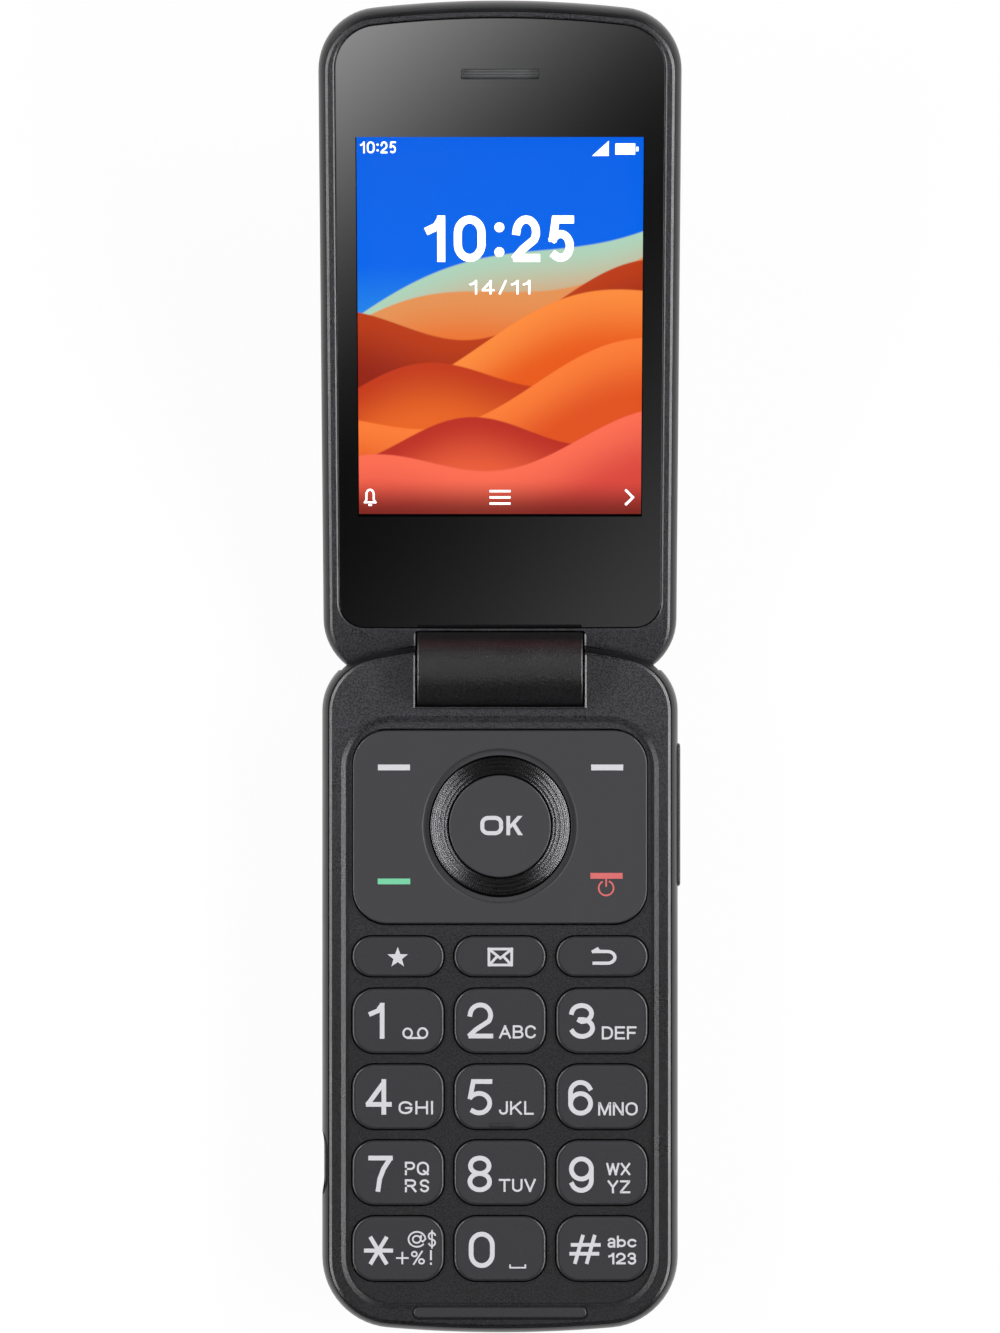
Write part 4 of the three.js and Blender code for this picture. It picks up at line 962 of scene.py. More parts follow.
@dataclass(frozen=True)
class Finish:
    """What every finish has: a name, a colour, and a material that is built from them."""

    name: str
    colour: Colour

    def material(self) -> bpy.types.Material:
        """Builds the material.

        Returns:
            The material.
        """
        material = bpy.data.materials.new(self.name)
        self.shade(Graph(material))
        return material

    def shade(self, graph: Graph) -> None:
        """Fills the material's graph, each finish in its own way.

        Args:
            graph: the graph, still empty.
        """
        raise NotImplementedError

    def toned(self, by: float) -> Colour:
        """The colour, lighter or darker by a factor."""
        return tuple(c * by for c in self.colour)


@dataclass(frozen=True)
class MouldedPlastic(Finish):
    """Plastic with a spark-eroded grain, uneven in tone, and polished here and there."""

    roughness: float = 0.5
    grain: float = 0.14
    depth: float = 0.35
    mottle: float = 0.25
    specular: float = 0.5
    # Painted light: where along Y the colour is brightened, and its factors at both ends
    painted_light_ramp: tuple[float, float, float, float] | None = None

    def shade(self, graph: Graph) -> None:
        """Flecks of grain over broad patches, with the colour brightened along Y as painted light
        where a ramp is given.

        Args:
            graph: the material's graph.
        """
        place = graph.place()
        fine = graph.noise(place, self.grain, 2.0, 0.6)
        broad = graph.noise(place, 9.0, 3.0, 0.5)
        fleck = graph.smooth(fine, 0.35, 0.65)
        tone = graph.blend(
            fleck * 0.7 + broad * 0.3, self.toned(1 - self.mottle), self.toned(1 + self.mottle))
        # Painted light: the colour is scaled up along Y, from the first factor to the last
        if self.painted_light_ramp:
            start, end, first, last = self.painted_light_ramp
            _, along, _ = graph.axes(place)
            tone = graph.scaled(tone, first + (last - first) * graph.smooth(along, start, end))
        graph.surface({
            "Base Color": tone,
            "Roughness": self.roughness - 0.08 + 0.16 * broad,
            "Specular IOR Level": self.specular,
            "Normal": graph.bump(fine, self.depth, self.grain * 0.3),
        })


@dataclass(frozen=True)
class Rubber(Finish):
    """Soft matt rubber or foam with fine pores."""

    roughness: float = 0.85
    pore: float = 0.2

    def shade(self, graph: Graph) -> None:
        """Pores under a faint cloud.

        Args:
            graph: the material's graph.
        """
        place = graph.place()
        pores = graph.value("ShaderNodeTexVoronoi", "Distance", inputs={
            "Vector": place, "Scale": 1 / self.pore})
        cloud = graph.noise(place, 3.0, 3.0)
        graph.surface({
            "Base Color": graph.blend(cloud, self.toned(0.8), self.toned(1.25)),
            "Roughness": self.roughness - 0.1 * cloud,
            "Normal": graph.bump(pores, 0.25, 0.03),
        })


@dataclass(frozen=True)
class DrawnMetal(Finish):
    """Metal with the lines of its rolling or drawing along one axis."""

    roughness: float = 0.32
    stretch: Place = (0.05, 1.2, 0.05)

    def shade(self, graph: Graph) -> None:
        """Noise drawn out into lines.

        Args:
            graph: the material's graph.
        """
        place = graph.place()
        drawn = graph.value("ShaderNodeVectorMath", settings={"operation": "DIVIDE"}, inputs={
            0: place, 1: self.stretch})
        lines = graph.noise(drawn, 1.0, 3.0, 0.6)
        cloud = graph.noise(place, 2.5, 2.0)
        graph.surface({
            "Base Color": graph.blend(cloud, self.toned(0.86), self.colour),
            "Metallic": 1.0,
            "Roughness": self.roughness - 0.06 + 0.16 * lines,
            "Normal": graph.bump(lines, 0.2, 0.02),
        })


@dataclass(frozen=True)
class SpunRing(Finish):
    """Metal spun about an upright axis, with crossing spiral lines."""

    centre: Place
    pitch: float = 0.26
    spokes: int = 90
    # Share of the colour kept at the top and bottom of the ring: painted shade between the painted
    # side highlights
    painted_shade_level: float = 0.5

    def shade(self, graph: Graph) -> None:
        """Two crossing spirals over rings, with painted shade in the lines' low parts, and the
        colour brightest at the left and right as a painted highlight.

        Args:
            graph: the material's graph.
        """
        x, y, _ = graph.axes(graph.place(self.centre))
        radius = graph.maths("SQRT", x * x + y * y)
        angle = graph.maths("ARCTAN2", y, x)
        out = radius * (2 * math.pi / self.pitch)
        one = graph.maths("SINE", out + angle * self.spokes)
        other = graph.maths("SINE", out - angle * self.spokes)
        cross = one * other
        lines = graph.maths("SINE", radius * (2 * math.pi / (self.pitch * 0.62)))
        height = cross * 0.45 + lines * 0.55
        # The low parts of the lines take a darker colour: painted shade in the grooves
        tone = graph.blend(graph.smooth(height, -0.6, 0.6), self.toned(0.45), self.colour)
        # Painted highlight: the colour is brightened at the left and right of the ring
        sides = graph.smooth(graph.maths("ABSOLUTE", x) / radius, 0.45, 0.75)
        graph.surface({
            "Base Color": graph.scaled(tone, self.painted_shade_level + (1 - self.painted_shade_level) * sides),
            "Metallic": 1.0,
            "Roughness": 0.24 + 0.05 * cross,
            "Normal": graph.bump(height, 1.0, 0.03),
        })


@dataclass(frozen=True)
class Ink(Finish):
    """Printed or moulded-in lettering with a faintly uneven edge to its tone."""

    glow: float = 0.0

    def shade(self, graph: Graph) -> None:
        """One tone under a faint cloud, lit where it glows.

        Args:
            graph: the material's graph.
        """
        cloud = graph.noise(graph.place(), 0.5, 3.0)
        tone = graph.blend(cloud, self.toned(0.93), self.colour)
        graph.surface({
            "Base Color": tone, "Roughness": 0.45 + 0.1 * cloud, "Emission Color": tone,
            "Emission Strength": self.glow, "Normal": graph.bump(cloud, 0.1, 0.01),
        })


@dataclass(frozen=True)
class WindowLens(Finish):
    """Black-backed clear plastic, bare over the display and over the camera's eye."""

    window: Plan
    clear: float = 0.012
    roughness: float = 0.06
    eye: Place = (0.0, 0.0, 0.0)

    def shade(self, graph: Graph) -> None:
        """Clear inside the window and the eye, with faint smudges.

        Args:
            graph: the material's graph.
        """
        place = graph.place((0, HINGE_Y, HINGE_Z), LID_TILT)
        x, y, _ = graph.axes(place)
        across = graph.maths("ABSOLUTE", x - self.window.x)
        along = graph.maths("ABSOLUTE", y - self.window.y)
        inside = (across < self.window.width / 2) * (along < self.window.length / 2)
        eye_x, eye_y, reach = self.eye
        off_x, off_y = x - eye_x, y - eye_y
        inside = graph.maths("MAXIMUM", inside, off_x * off_x + off_y * off_y < reach * reach)
        smudge = graph.noise(place, 14.0, 3.0)
        graph.surface({
            "Base Color": graph.blend(smudge, self.colour, self.toned(1.3)),
            "Alpha": 1 - inside * (1 - self.clear),
            "Roughness": self.roughness + 0.02 * smudge,
            "Normal": graph.bump(smudge, 0.05, 0.01),
        })


@dataclass(frozen=True)
class Picture(Finish):
    """A lit display: a plain design of sky and wavy dunes, with black round it."""

    area: Plan
    strength: float = 1.0

    def shade(self, graph: Graph) -> None:
        """A sky and one ridge over the next, each a wavy line with a shade below it.

        Args:
            graph: the material's graph.
        """
        x, y, _ = graph.axes(graph.place((0, HINGE_Y, HINGE_Z), LID_TILT))
        u = (x - self.area.x) / self.area.width + 0.5
        v = (y - self.area.y) / self.area.length + 0.5
        colour = graph.value(
            "ShaderNodeValToRGB", settings={"stops": SKY}, inputs={"Fac": v})
        for base, slope, swell, waves, turn, crest, foot in RIDGES:
            line = base + slope * (u - 0.5) + swell * graph.maths("SINE", u * waves + turn)
            below = line - v
            shade = graph.blend(graph.smooth(below, 0.0, 0.17), crest, foot)
            colour = graph.blend(graph.smooth(below, 0.0, 0.006), colour, shade)
        colour = graph.blend(graph.smooth(v, 0.0, 0.1) * 0.7 + 0.3, BLACK, colour)
        across = graph.maths("ABSOLUTE", u - 0.5)
        along = graph.maths("ABSOLUTE", v - 0.5)
        graph.surface({
            "Base Color": self.colour, "Roughness": 0.3, "Specular IOR Level": 0.05,
            "Emission Color": graph.blend((across < 0.5) * (along < 0.5), BLACK, colour),
            "Emission Strength": self.strength,
        })


@dataclass(frozen=True)
class Laminate(Finish):
    """A circuit board under solder mask, with tracks and plated pads."""

    def shade(self, graph: Graph) -> None:
        """Tracks under the mask, and pads through it.

        Args:
            graph: the material's graph.
        """
        place = graph.place()
        tracks = graph.value("ShaderNodeTexBrick", "Fac", inputs={
            "Vector": place, "Scale": 0.35, "Mortar Size": 0.06, "Mortar Smooth": 0.0})
        dots = graph.value("ShaderNodeTexVoronoi", "Distance", inputs={
            "Vector": place, "Scale": 0.6, "Randomness": 0.7})
        pads = dots < 0.16
        mask = graph.blend(tracks, self.colour, self.toned(1.8))
        graph.surface({
            "Base Color": graph.blend(pads, mask, (0.75, 0.55, 0.22)),
            "Metallic": pads * 0.9, "Roughness": 0.42 - pads * 0.15,
            "Normal": graph.bump(tracks + pads, 0.3, 0.04),
        })


@dataclass(frozen=True)
class Film(Finish):
    """Thin coloured film, a little creased."""

    roughness: float = 0.3

    def shade(self, graph: Graph) -> None:
        """Soft creases.

        Args:
            graph: the material's graph.
        """
        crease = graph.noise(graph.place(), 2.2, 4.0)
        graph.surface({
            "Base Color": graph.blend(crease, self.toned(0.8), self.colour),
            "Roughness": self.roughness + 0.15 * crease,
            "Normal": graph.bump(crease, 0.3, 0.08),
        })


@dataclass(frozen=True)
class Paper(Finish):
    """White matt paper for the floor, which shows plain white and keeps a shadow."""

    share: float = 0.95

    def shade(self, graph: Graph) -> None:
        """Matt paper that looks white to the eye and in reflections.

        Args:
            graph: the material's graph.
        """
        shown = graph.rays("Is Camera Ray", "Is Glossy Ray", "Is Transmission Ray")
        cloud = graph.noise(graph.place(), 40.0, 2.0)
        matt = graph.value("ShaderNodeBsdfDiffuse", inputs={
            "Color": graph.blend(cloud, self.colour, self.toned(1.02))})
        white = graph.value("ShaderNodeEmission", inputs={"Color": (1, 1, 1), "Strength": 1.0})
        both = graph.value("ShaderNodeMixShader", inputs={0: shown * self.share, 1: matt, 2: white})
        graph.node("ShaderNodeOutputMaterial", inputs={"Surface": both})


BLACK = (0.0, 0.0, 0.0)
SKY = ((0.5, srgb(40, 140, 235)), (0.66, srgb(2, 104, 238)), (1.0, srgb(0, 98, 234)))
# Each ridge: height, slope, swell, waves, turn, then its colours at crest and foot
RIDGES = (
    (0.66, 0.30, 0.055, 4.2, 0.4, srgb(176, 214, 190), srgb(222, 160, 112)),
    (0.60, 0.26, 0.06, 4.6, 0.9, srgb(232, 150, 88), srgb(240, 112, 40)),
    (0.55, 0.12, 0.07, 5.6, 2.3, srgb(190, 62, 22), srgb(150, 38, 20)),
    (0.47, 0.22, 0.06, 5.0, 4.1, srgb(255, 142, 62), srgb(236, 92, 24)),
    (0.38, 0.10, 0.055, 6.4, 0.2, srgb(198, 60, 26), srgb(236, 104, 36)),
    (0.33, 0.18, 0.06, 5.4, 2.9, srgb(255, 128, 56), srgb(228, 84, 30)),
    (0.22, 0.06, 0.05, 7.0, 5.2, srgb(190, 48, 34), srgb(240, 98, 60)),
    (0.17, 0.12, 0.05, 6.0, 1.6, srgb(255, 112, 84), srgb(222, 74, 62)),
)
# The deck's colour brightens towards the hinge end: painted light, not a tone of the plastic
DECK = MouldedPlastic(
    "deck_plastic", srgb(29, 29, 31), 0.29, 0.26, 0.16, 0.9, 0.4, painted_light_ramp=(-10.0, 48.0, 0.98, 2.3))
SIDE = MouldedPlastic("side_plastic", srgb(24, 23, 25), 0.32, 0.24, 0.25, 0.6, 0.38)
DOOR = MouldedPlastic("door_plastic", srgb(40, 40, 43), 0.5, 0.2, 0.6, 0.25)
CAP = MouldedPlastic("cap_plastic", srgb(46, 45, 48), 0.27, 0.2, 0.05, 0.1, 0.42)
PANEL = MouldedPlastic("panel_plastic", srgb(54, 53, 56), 0.3, 0.2, 0.03, 0.06, 0.45)
BARREL = MouldedPlastic("barrel_plastic", srgb(19, 18, 20), 0.31, 0.3, 1.0, 0.9, 1.0)
MOULDING = MouldedPlastic("inner_moulding", srgb(30, 30, 32), 0.55, 0.2, 0.3, 0.15)
# The spun ring: painted highlights at its sides and painted shade at its top and bottom
RING = SpunRing("spun_ring", (0.125, 0.125, 0.13), (0, 25.5, 10))
WHITE_INK = Ink("white_ink", srgb(197, 196, 200))
GREEN_INK = Ink("green_ink", srgb(108, 193, 151))
RED_INK = Ink("red_ink", srgb(200, 98, 97))
LIT_INK = Ink("lit_ink", srgb(255, 255, 255), 1.0)
RUBBER = Rubber("soft_rubber", srgb(48, 48, 52))
FOAM = Rubber("grey_foam", srgb(80, 80, 84), 0.95, 0.35)
STEEL = DrawnMetal("drawn_steel", srgb(196, 197, 200))
NICKEL = DrawnMetal("nickel_shell", srgb(176, 176, 172), 0.24, (0.6, 0.06, 0.06))
DARK_STEEL = DrawnMetal("dark_steel", srgb(92, 94, 98), 0.4)
PIN_STEEL = DrawnMetal("pin_steel", srgb(58, 58, 61), 0.45)
MESH = DrawnMetal("mesh_metal", srgb(158, 159, 161), 0.5)
BOARD = Laminate("board_laminate", srgb(22, 74, 48))
AMBER = Film("amber_film", srgb(196, 128, 48))
PACK_WRAP = Film("pack_wrap", srgb(58, 62, 70), 0.45)
WHITE_PAPER = Paper("white_paper", (0.8, 0.8, 0.8))


# Placing and dressing

@dataclass
class Fitter:
    """Places finished shapes, dresses them and hangs them on their CAD bodies."""

    finishes: dict[str, bpy.types.Material] = field(default_factory=dict)

    def finish(self, finish: Finish) -> bpy.types.Material:
        """The material of a finish, built once.

        Args:
            finish: the finish.

        Returns:
            The material.
        """
        if finish.name not in self.finishes:
            self.finishes[finish.name] = finish.material()
        return self.finishes[finish.name]

    def fit(
        self, blank: Blank, name: str, body: str, slot: str, finish: Finish, *stands_for: str,
        tilted: bool = False, weighted: bool = True,
    ) -> None:
        """Turns a shape into a finished piece.

        Args:
            blank: the shape, in millimetres.
            name: the piece's name.
            body: the CAD body that it rides on.
            slot: a material slot's name; not used.
            finish: the finish that dresses it.
            stands_for: the CAD nodes that it replaces.
            tilted: whether it was worked in the lid's own frame.
            weighted: whether its flats keep plain normals.
        """
        piece = blank.model(name)
        mesh = piece.data
        mesh.transform(TO_METRES @ (LID_PLACE if tilted else Matrix.Identity(4)))
        mesh.shade_smooth()
        mesh.set_sharp_from_angle(angle=SHARP_ANGLE)
        mesh.materials.clear()
        mesh.materials.append(self.finish(finish))
        if weighted:
            normals = piece.modifiers.new("flats", "WEIGHTED_NORMAL")
            normals.keep_sharp, normals.weight = True, 60
        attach(piece, body)
        if stands_for:
            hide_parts(*stands_for)
        log.info("piece %s on %s, %d faces", name, body, len(mesh.polygons))

    def dress(self, node: str, finish: Finish) -> None:
        """Gives a CAD node that stays in view its finish, and welds its loose triangles together.

        Args:
            node: the node's name.
            finish: what it is made of.
        """
        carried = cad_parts[node]
        carried.data.materials.clear()
        carried.data.materials.append(self.finish(finish))
        weld = carried.modifiers.new("weld", "WELD")
        weld.merge_threshold = WELD
        log.info("node %s dressed as %s", node, finish.name)


# Each word on a key: node, glyphs, left, right, bottom, top and stroke
LEGENDS = (
    ("key_message", "frame", -1.9, 2.0, 3.98, 6.83, 0.4),
    ("key_back", "return", 14.1, 17.92, 4.2, 6.87, 0.5),
    ("key_1", "1", -20.19, -17.77, -7.17, -1.64, DIGIT_STROKE),
    ("key_1", "rings", -15.02, -11.04, -7.2, -5.4, 0.3),
    ("key_2", "2", -4.95, -1.05, -7.11, -1.61, DIGIT_STROKE),
    ("key_2", "A B C", -0.15, 5.5, -7.12, -5.1, LETTER_STROKE),
    ("key_3", "3", 10.68, 14.6, -7.17, -1.7, DIGIT_STROKE),
    ("key_3", "D E F", 15.66, 21.0, -7.27, -5.26, LETTER_STROKE),
    ("key_4", "4", -20.62, -16.65, -18.84, -13.39, DIGIT_STROKE),
    ("key_4", "G H I", -15.6, -10.3, -18.8, -16.74, LETTER_STROKE),
    ("key_5", "5", -4.92, -1.19, -18.93, -13.39, DIGIT_STROKE),
    ("key_5", "J K L", -0.16, 5.18, -18.86, -16.78, LETTER_STROKE),
    ("key_6", "6", 10.5, 14.3, -18.97, -13.54, DIGIT_STROKE),
    ("key_6", "M N O", 15.1, 21.18, -18.97, -16.93, LETTER_STROKE),
    ("key_7", "7", -20.25, -16.5, -30.7, -25.16, DIGIT_STROKE),
    ("key_7", "P Q", -14.63, -10.92, -28.16, -26.08, LETTER_STROKE),
    ("key_7", "R S", -14.63, -10.92, -30.78, -28.79, LETTER_STROKE),
    ("key_8", "8", -4.98, -1.25, -30.76, -25.16, DIGIT_STROKE),
    ("key_8", "T U V", -0.18, 5.5, -30.72, -28.73, LETTER_STROKE),
    ("key_9", "9", 10.62, 14.41, -30.85, -25.3, DIGIT_STROKE),
    ("key_9", "W X", 16.34, 20.04, -28.16, -26.27, LETTER_STROKE),
    ("key_9", "Y Z", 16.55, 20.04, -30.94, -28.95, LETTER_STROKE),
    ("key_asterisk", "*", -20.92, -16.46, -41.9, -37.6, 0.62),
    ("key_asterisk", "@", -14.2, -11.35, -39.3, -36.75, 0.25),
    ("key_asterisk", "$", -11.1, -9.85, -39.45, -36.6, 0.25),
    ("key_asterisk", "+", -16.0, -14.05, -41.85, -39.95, 0.27),
    ("key_asterisk", "%", -13.7, -11.55, -41.95, -39.75, 0.25),
    ("key_asterisk", "!", -10.8, -10.45, -41.95, -39.7, 0.3),
    ("key_0", "0", -4.8, -0.82, -42.41, -36.87, DIGIT_STROKE),
    ("key_0", "bracket", 1.43, 4.01, -42.5, -41.88, 0.24),
    ("key_hash", "#", 10.68, 15.48, -41.8, -37.33, 0.56),
    ("key_hash", "a b c", 16.55, 20.95, -39.33, -37.46, LETTER_STROKE),
    ("key_hash", "1 2 3", 16.64, 20.95, -41.91, -40.05, LETTER_STROKE),
)
# The printed bars on the panel: name, finish, then left, right, bottom and top of each
MARKS = (
    ("soft_key_bars", WHITE_INK, ((-18.78, -13.85, 34.12, 35.01), (14.02, 18.95, 34.12, 35.01))),
    ("call_bar", GREEN_INK, ((-18.81, -13.81, 16.59, 17.47),)),
    ("end_bar", RED_INK, ((13.9, 18.87, 17.44, 18.34),)),
)
# What stands on the lit display: glyphs, left, right, bottom, top, stroke and gap
SCREEN_WORDS = (
    ("1 0", -11.3, -2.2, 63.1, 70.2, 1.2, 0.7), ("2 5", 1.9, 11.2, 63.1, 70.2, 1.2, 0.7),
    ("1 4 / 1 1", -4.6, 4.6, 58.1, 60.3, 0.3, 0.6), ("1 0", -21.1, -18.9, 79.7, 81.5, 0.25, 0.6),
    ("2 5", -18.0, -15.7, 79.7, 81.5, 0.25, 0.6), ("bell", -20.9, -19.0, 25.1, 27.8, 0.3),
    ("rows", -1.6, 1.6, 25.3, 27.6, 0.34), ("chevron", 19.2, 20.6, 25.2, 27.7, 0.36),
)
SCREEN_DOTS = (
    (-0.1, 64.6, 0.75), (-0.1, 68.4, 0.75), (-18.45, 80.15, 0.17), (-18.45, 81.0, 0.17))
SCREEN_BARS = ((17.4, 20.4, 79.5, 81.2), (20.5, 20.9, 80.0, 80.7))
SIGNAL = ((13.9, 79.3), (16.4, 79.3), (16.4, 81.6))
# The finishes of the CAD nodes that stay in view, which are steel where none is named
INSIDE = {
    "main_board": BOARD, "lid_board": BOARD, "volume_switch_board": BOARD,
    "dome_sheet": AMBER, "hinge_flex": AMBER, "keypad_mat": RUBBER, "nav_panel_web": RUBBER,
    "nav_ring_web": RUBBER, "battery": PACK_WRAP, "battery_connector": MOULDING,
    "antenna_carrier": MOULDING, "earpiece": DARK_STEEL, "loudspeaker": DARK_STEEL,
    "microphone": FOAM, "hinge_cam": DARK_STEEL, "hinge_pivot_pin": PIN_STEEL,
    "hinge_shaft": PIN_STEEL,
}


@dataclass
class Keypad:
    """The fifteen keys of the base with their lettering."""

    fitter: Fitter
    top: float = 10.2
    bottom: float = 8.35
    width: float = 14.05
    height: float = 9.93
    corner: float = 3.43
    pitch_x: float = 15.69
    pitch_y: float = 11.68
    first_y: float = -4.45
    function_y: float = 5.48
    function_height: float = 6.13
    function_corner: float = 3.0
    crown: Step = (0.6, 0.32)
    star_place: Point = (-15.73, 5.3)
    star_outer: float = 1.66
    star_inner: float = 0.68
    mark: Plan = Plan(0.27, -20.44, 3.6, 0.5, 0.24)
    mark_wall: float = 0.08
    mark_round: Step = (0.15, 0.14)
    mark_root: float = 0.06

    def places(self) -> dict[str, Plan]:
        """The plan of each key, by the name of its node.

        Returns:
            The plans, from the star's to the hash's.
        """
        plans = {}
        rows = ("star message back", "1 2 3", "4 5 6", "7 8 9", "asterisk 0 hash")
        for row, names in enumerate(rows):
            place = self.function_y, self.width, self.function_height, self.function_corner
            if row:
                y = self.first_y - (row - 1) * self.pitch_y
                place = y, self.width, self.height, self.corner
            for column, name in enumerate(names.split()):
                plans[f"key_{name}"] = Plan((column - 1) * self.pitch_x, *place)
        return plans

    def build(self) -> None:
        """Builds the keys and their lettering."""
        ink = Lettering()
        start = self.top - self.crown[1]
        for name, plan in self.places().items():
            cap = Blank().rounded(plan, start, 12).body(
                quarter(*self.crown), [(0, start - self.bottom)])
            if name == "key_5":
                cap.extended(self.finger_mark())
            self.fitter.fit(cap, f"{name}_cap", name, "cap", CAP, name)
            words = [ink.word(Word(*row), self.top) for node, *row in LEGENDS if node == name]
            legend = together(words) if words else self.star(ink)
            self.fitter.fit(legend, f"{name}_legend", name, "cap", WHITE_INK, weighted=False)

    def star(self, ink: Lettering) -> Blank:
        """The five-pointed star of the first key.

        Args:
            ink: what draws it.

        Returns:
            The star, on the key's top.
        """
        x, y = self.star_place
        points = []
        for i in range(10):
            turn = math.pi / 2 + math.pi * i / 5
            radius = self.star_inner if i % 2 else self.star_outer
            points.append((x + radius * math.cos(turn), y + radius * math.sin(turn)))
        return ink.shape(points, self.top)

    def finger_mark(self) -> Blank:
        """The raised bar that the finger feels on the middle key."""
        return Blank().rounded(self.mark, self.top, 4).body(
            [(0, self.mark_wall), *quarter(*self.mark_round, 3)], [(0, self.mark_root)])


@dataclass
class Navigation:
    """The navigation panel with its dish, ring, middle key and printed marks."""

    fitter: Fitter
    y: float = 25.5
    top: float = 10.2
    bottom: float = 8.75
    plan: Plan = Plan(0, 25.4, 45.3, 29.7, 5.26)
    edge: float = 0.28
    hole: float = 10.95
    dish: float = 12.0
    dish_slope: Step = (0.2, 0.09)
    dish_wall: float = 0.06
    dish_depth: float = 0.45
    ring_outer: float = 10.73
    ring_inner: float = 7.98
    ring_top: float = 10.25
    ring_edge: float = 0.3
    ring_dip: float = 0.25
    ok_radius: float = 7.86
    ok_bottom: float = 8.85
    ok_edge: float = 0.25
    ok_dish: float = 0.1
    letter_o: Word = Word("wide_o", -3.03, 0.48, 24.14, 27.11, 0.62)
    letter_k: tuple[Point, ...] = (
        (0.98, 24.14), (1.56, 24.14), (1.56, 25.12), (1.96, 25.5), (2.8, 24.14), (3.52, 24.14),
        (2.4, 25.88), (3.46, 27.11), (2.7, 27.11), (1.56, 25.78), (1.56, 27.11), (0.98, 27.11))
    power: Word = Word("power", 15.05, 17.6, 14.75, 17.4, 0.26)

    def build(self) -> None:
        """Builds the block."""
        self.panel()
        self.ring()
        self.middle()
        self.marks()

    def panel(self) -> None:
        """The plate, with the hole and the dish round the ring."""
        start = self.top - self.edge
        body = Blank().rounded(self.plan, start, 16).body(
            quarter(self.edge, self.edge, 6), [(0, start - self.bottom)])
        draw, drop = self.dish_slope
        foot, floor = self.dish - draw, self.top - self.dish_depth
        cutter = turned((0, self.y), [
            (0, self.top + RUN), (self.dish, self.top + RUN), (self.dish, self.top),
            (foot, self.top - drop), (foot - self.dish_wall, floor), (self.hole, floor),
            (self.hole, self.bottom - RUN), (0, self.bottom - RUN)], 128)
        self.fitter.fit(
            body.cut(cutter), "navigation_panel", "nav_panel", "panel", PANEL, "nav_panel")

    def ring(self) -> None:
        """The spun ring, which slopes down to its middle."""
        edge, high = self.ring_edge, self.ring_top - self.ring_edge
        ring = turned((0, self.y), [
            (self.ring_inner, self.bottom), (self.ring_outer, self.bottom),
            *arc_points((self.ring_outer - edge, high), edge, 0, 90, 6),
            *arc_points((self.ring_inner + edge, high - self.ring_dip), edge, 90, 180, 6),
            (self.ring_inner, self.bottom)], 160)
        self.fitter.fit(ring, "navigation_ring", "nav_ring", "ring", RING, "nav_ring")

    def middle(self) -> None:
        """The middle key, a shallow dish, and its two letters."""
        edge, top, out = self.ok_edge, self.top, self.ok_radius
        cap = turned((0, self.y), [
            (0, self.ok_bottom), (out, self.ok_bottom),
            *arc_points((out - edge, top - edge), edge, 0, 90, 6),
            *(((out - edge) * share, top - self.ok_dish * (1 - share ** 2))
              for share in (0.8, 0.6, 0.4, 0.2, 0))], 128)
        self.fitter.fit(cap, "ok_cap", "ok_key", "panel", PANEL, "ok_key")
        ink = Lettering(ink=0.03)
        height = top - self.ok_dish
        word = ink.word(self.letter_o, height).extended(ink.shape(self.letter_k, height))
        self.fitter.fit(word, "ok_legend", "ok_key", "cap", WHITE_INK, weighted=False)

    def marks(self) -> None:
        """The printed bars of the four corner keys and the sign under the red one."""
        ink = Lettering()
        for name, finish, bars in MARKS:
            drawn = [ink.bar(*bar, self.top) for bar in bars]
            if finish is RED_INK:
                drawn.append(ink.word(self.power, self.top))
            self.fitter.fit(
                together(drawn), name, "nav_panel", "panel", finish, weighted=False)


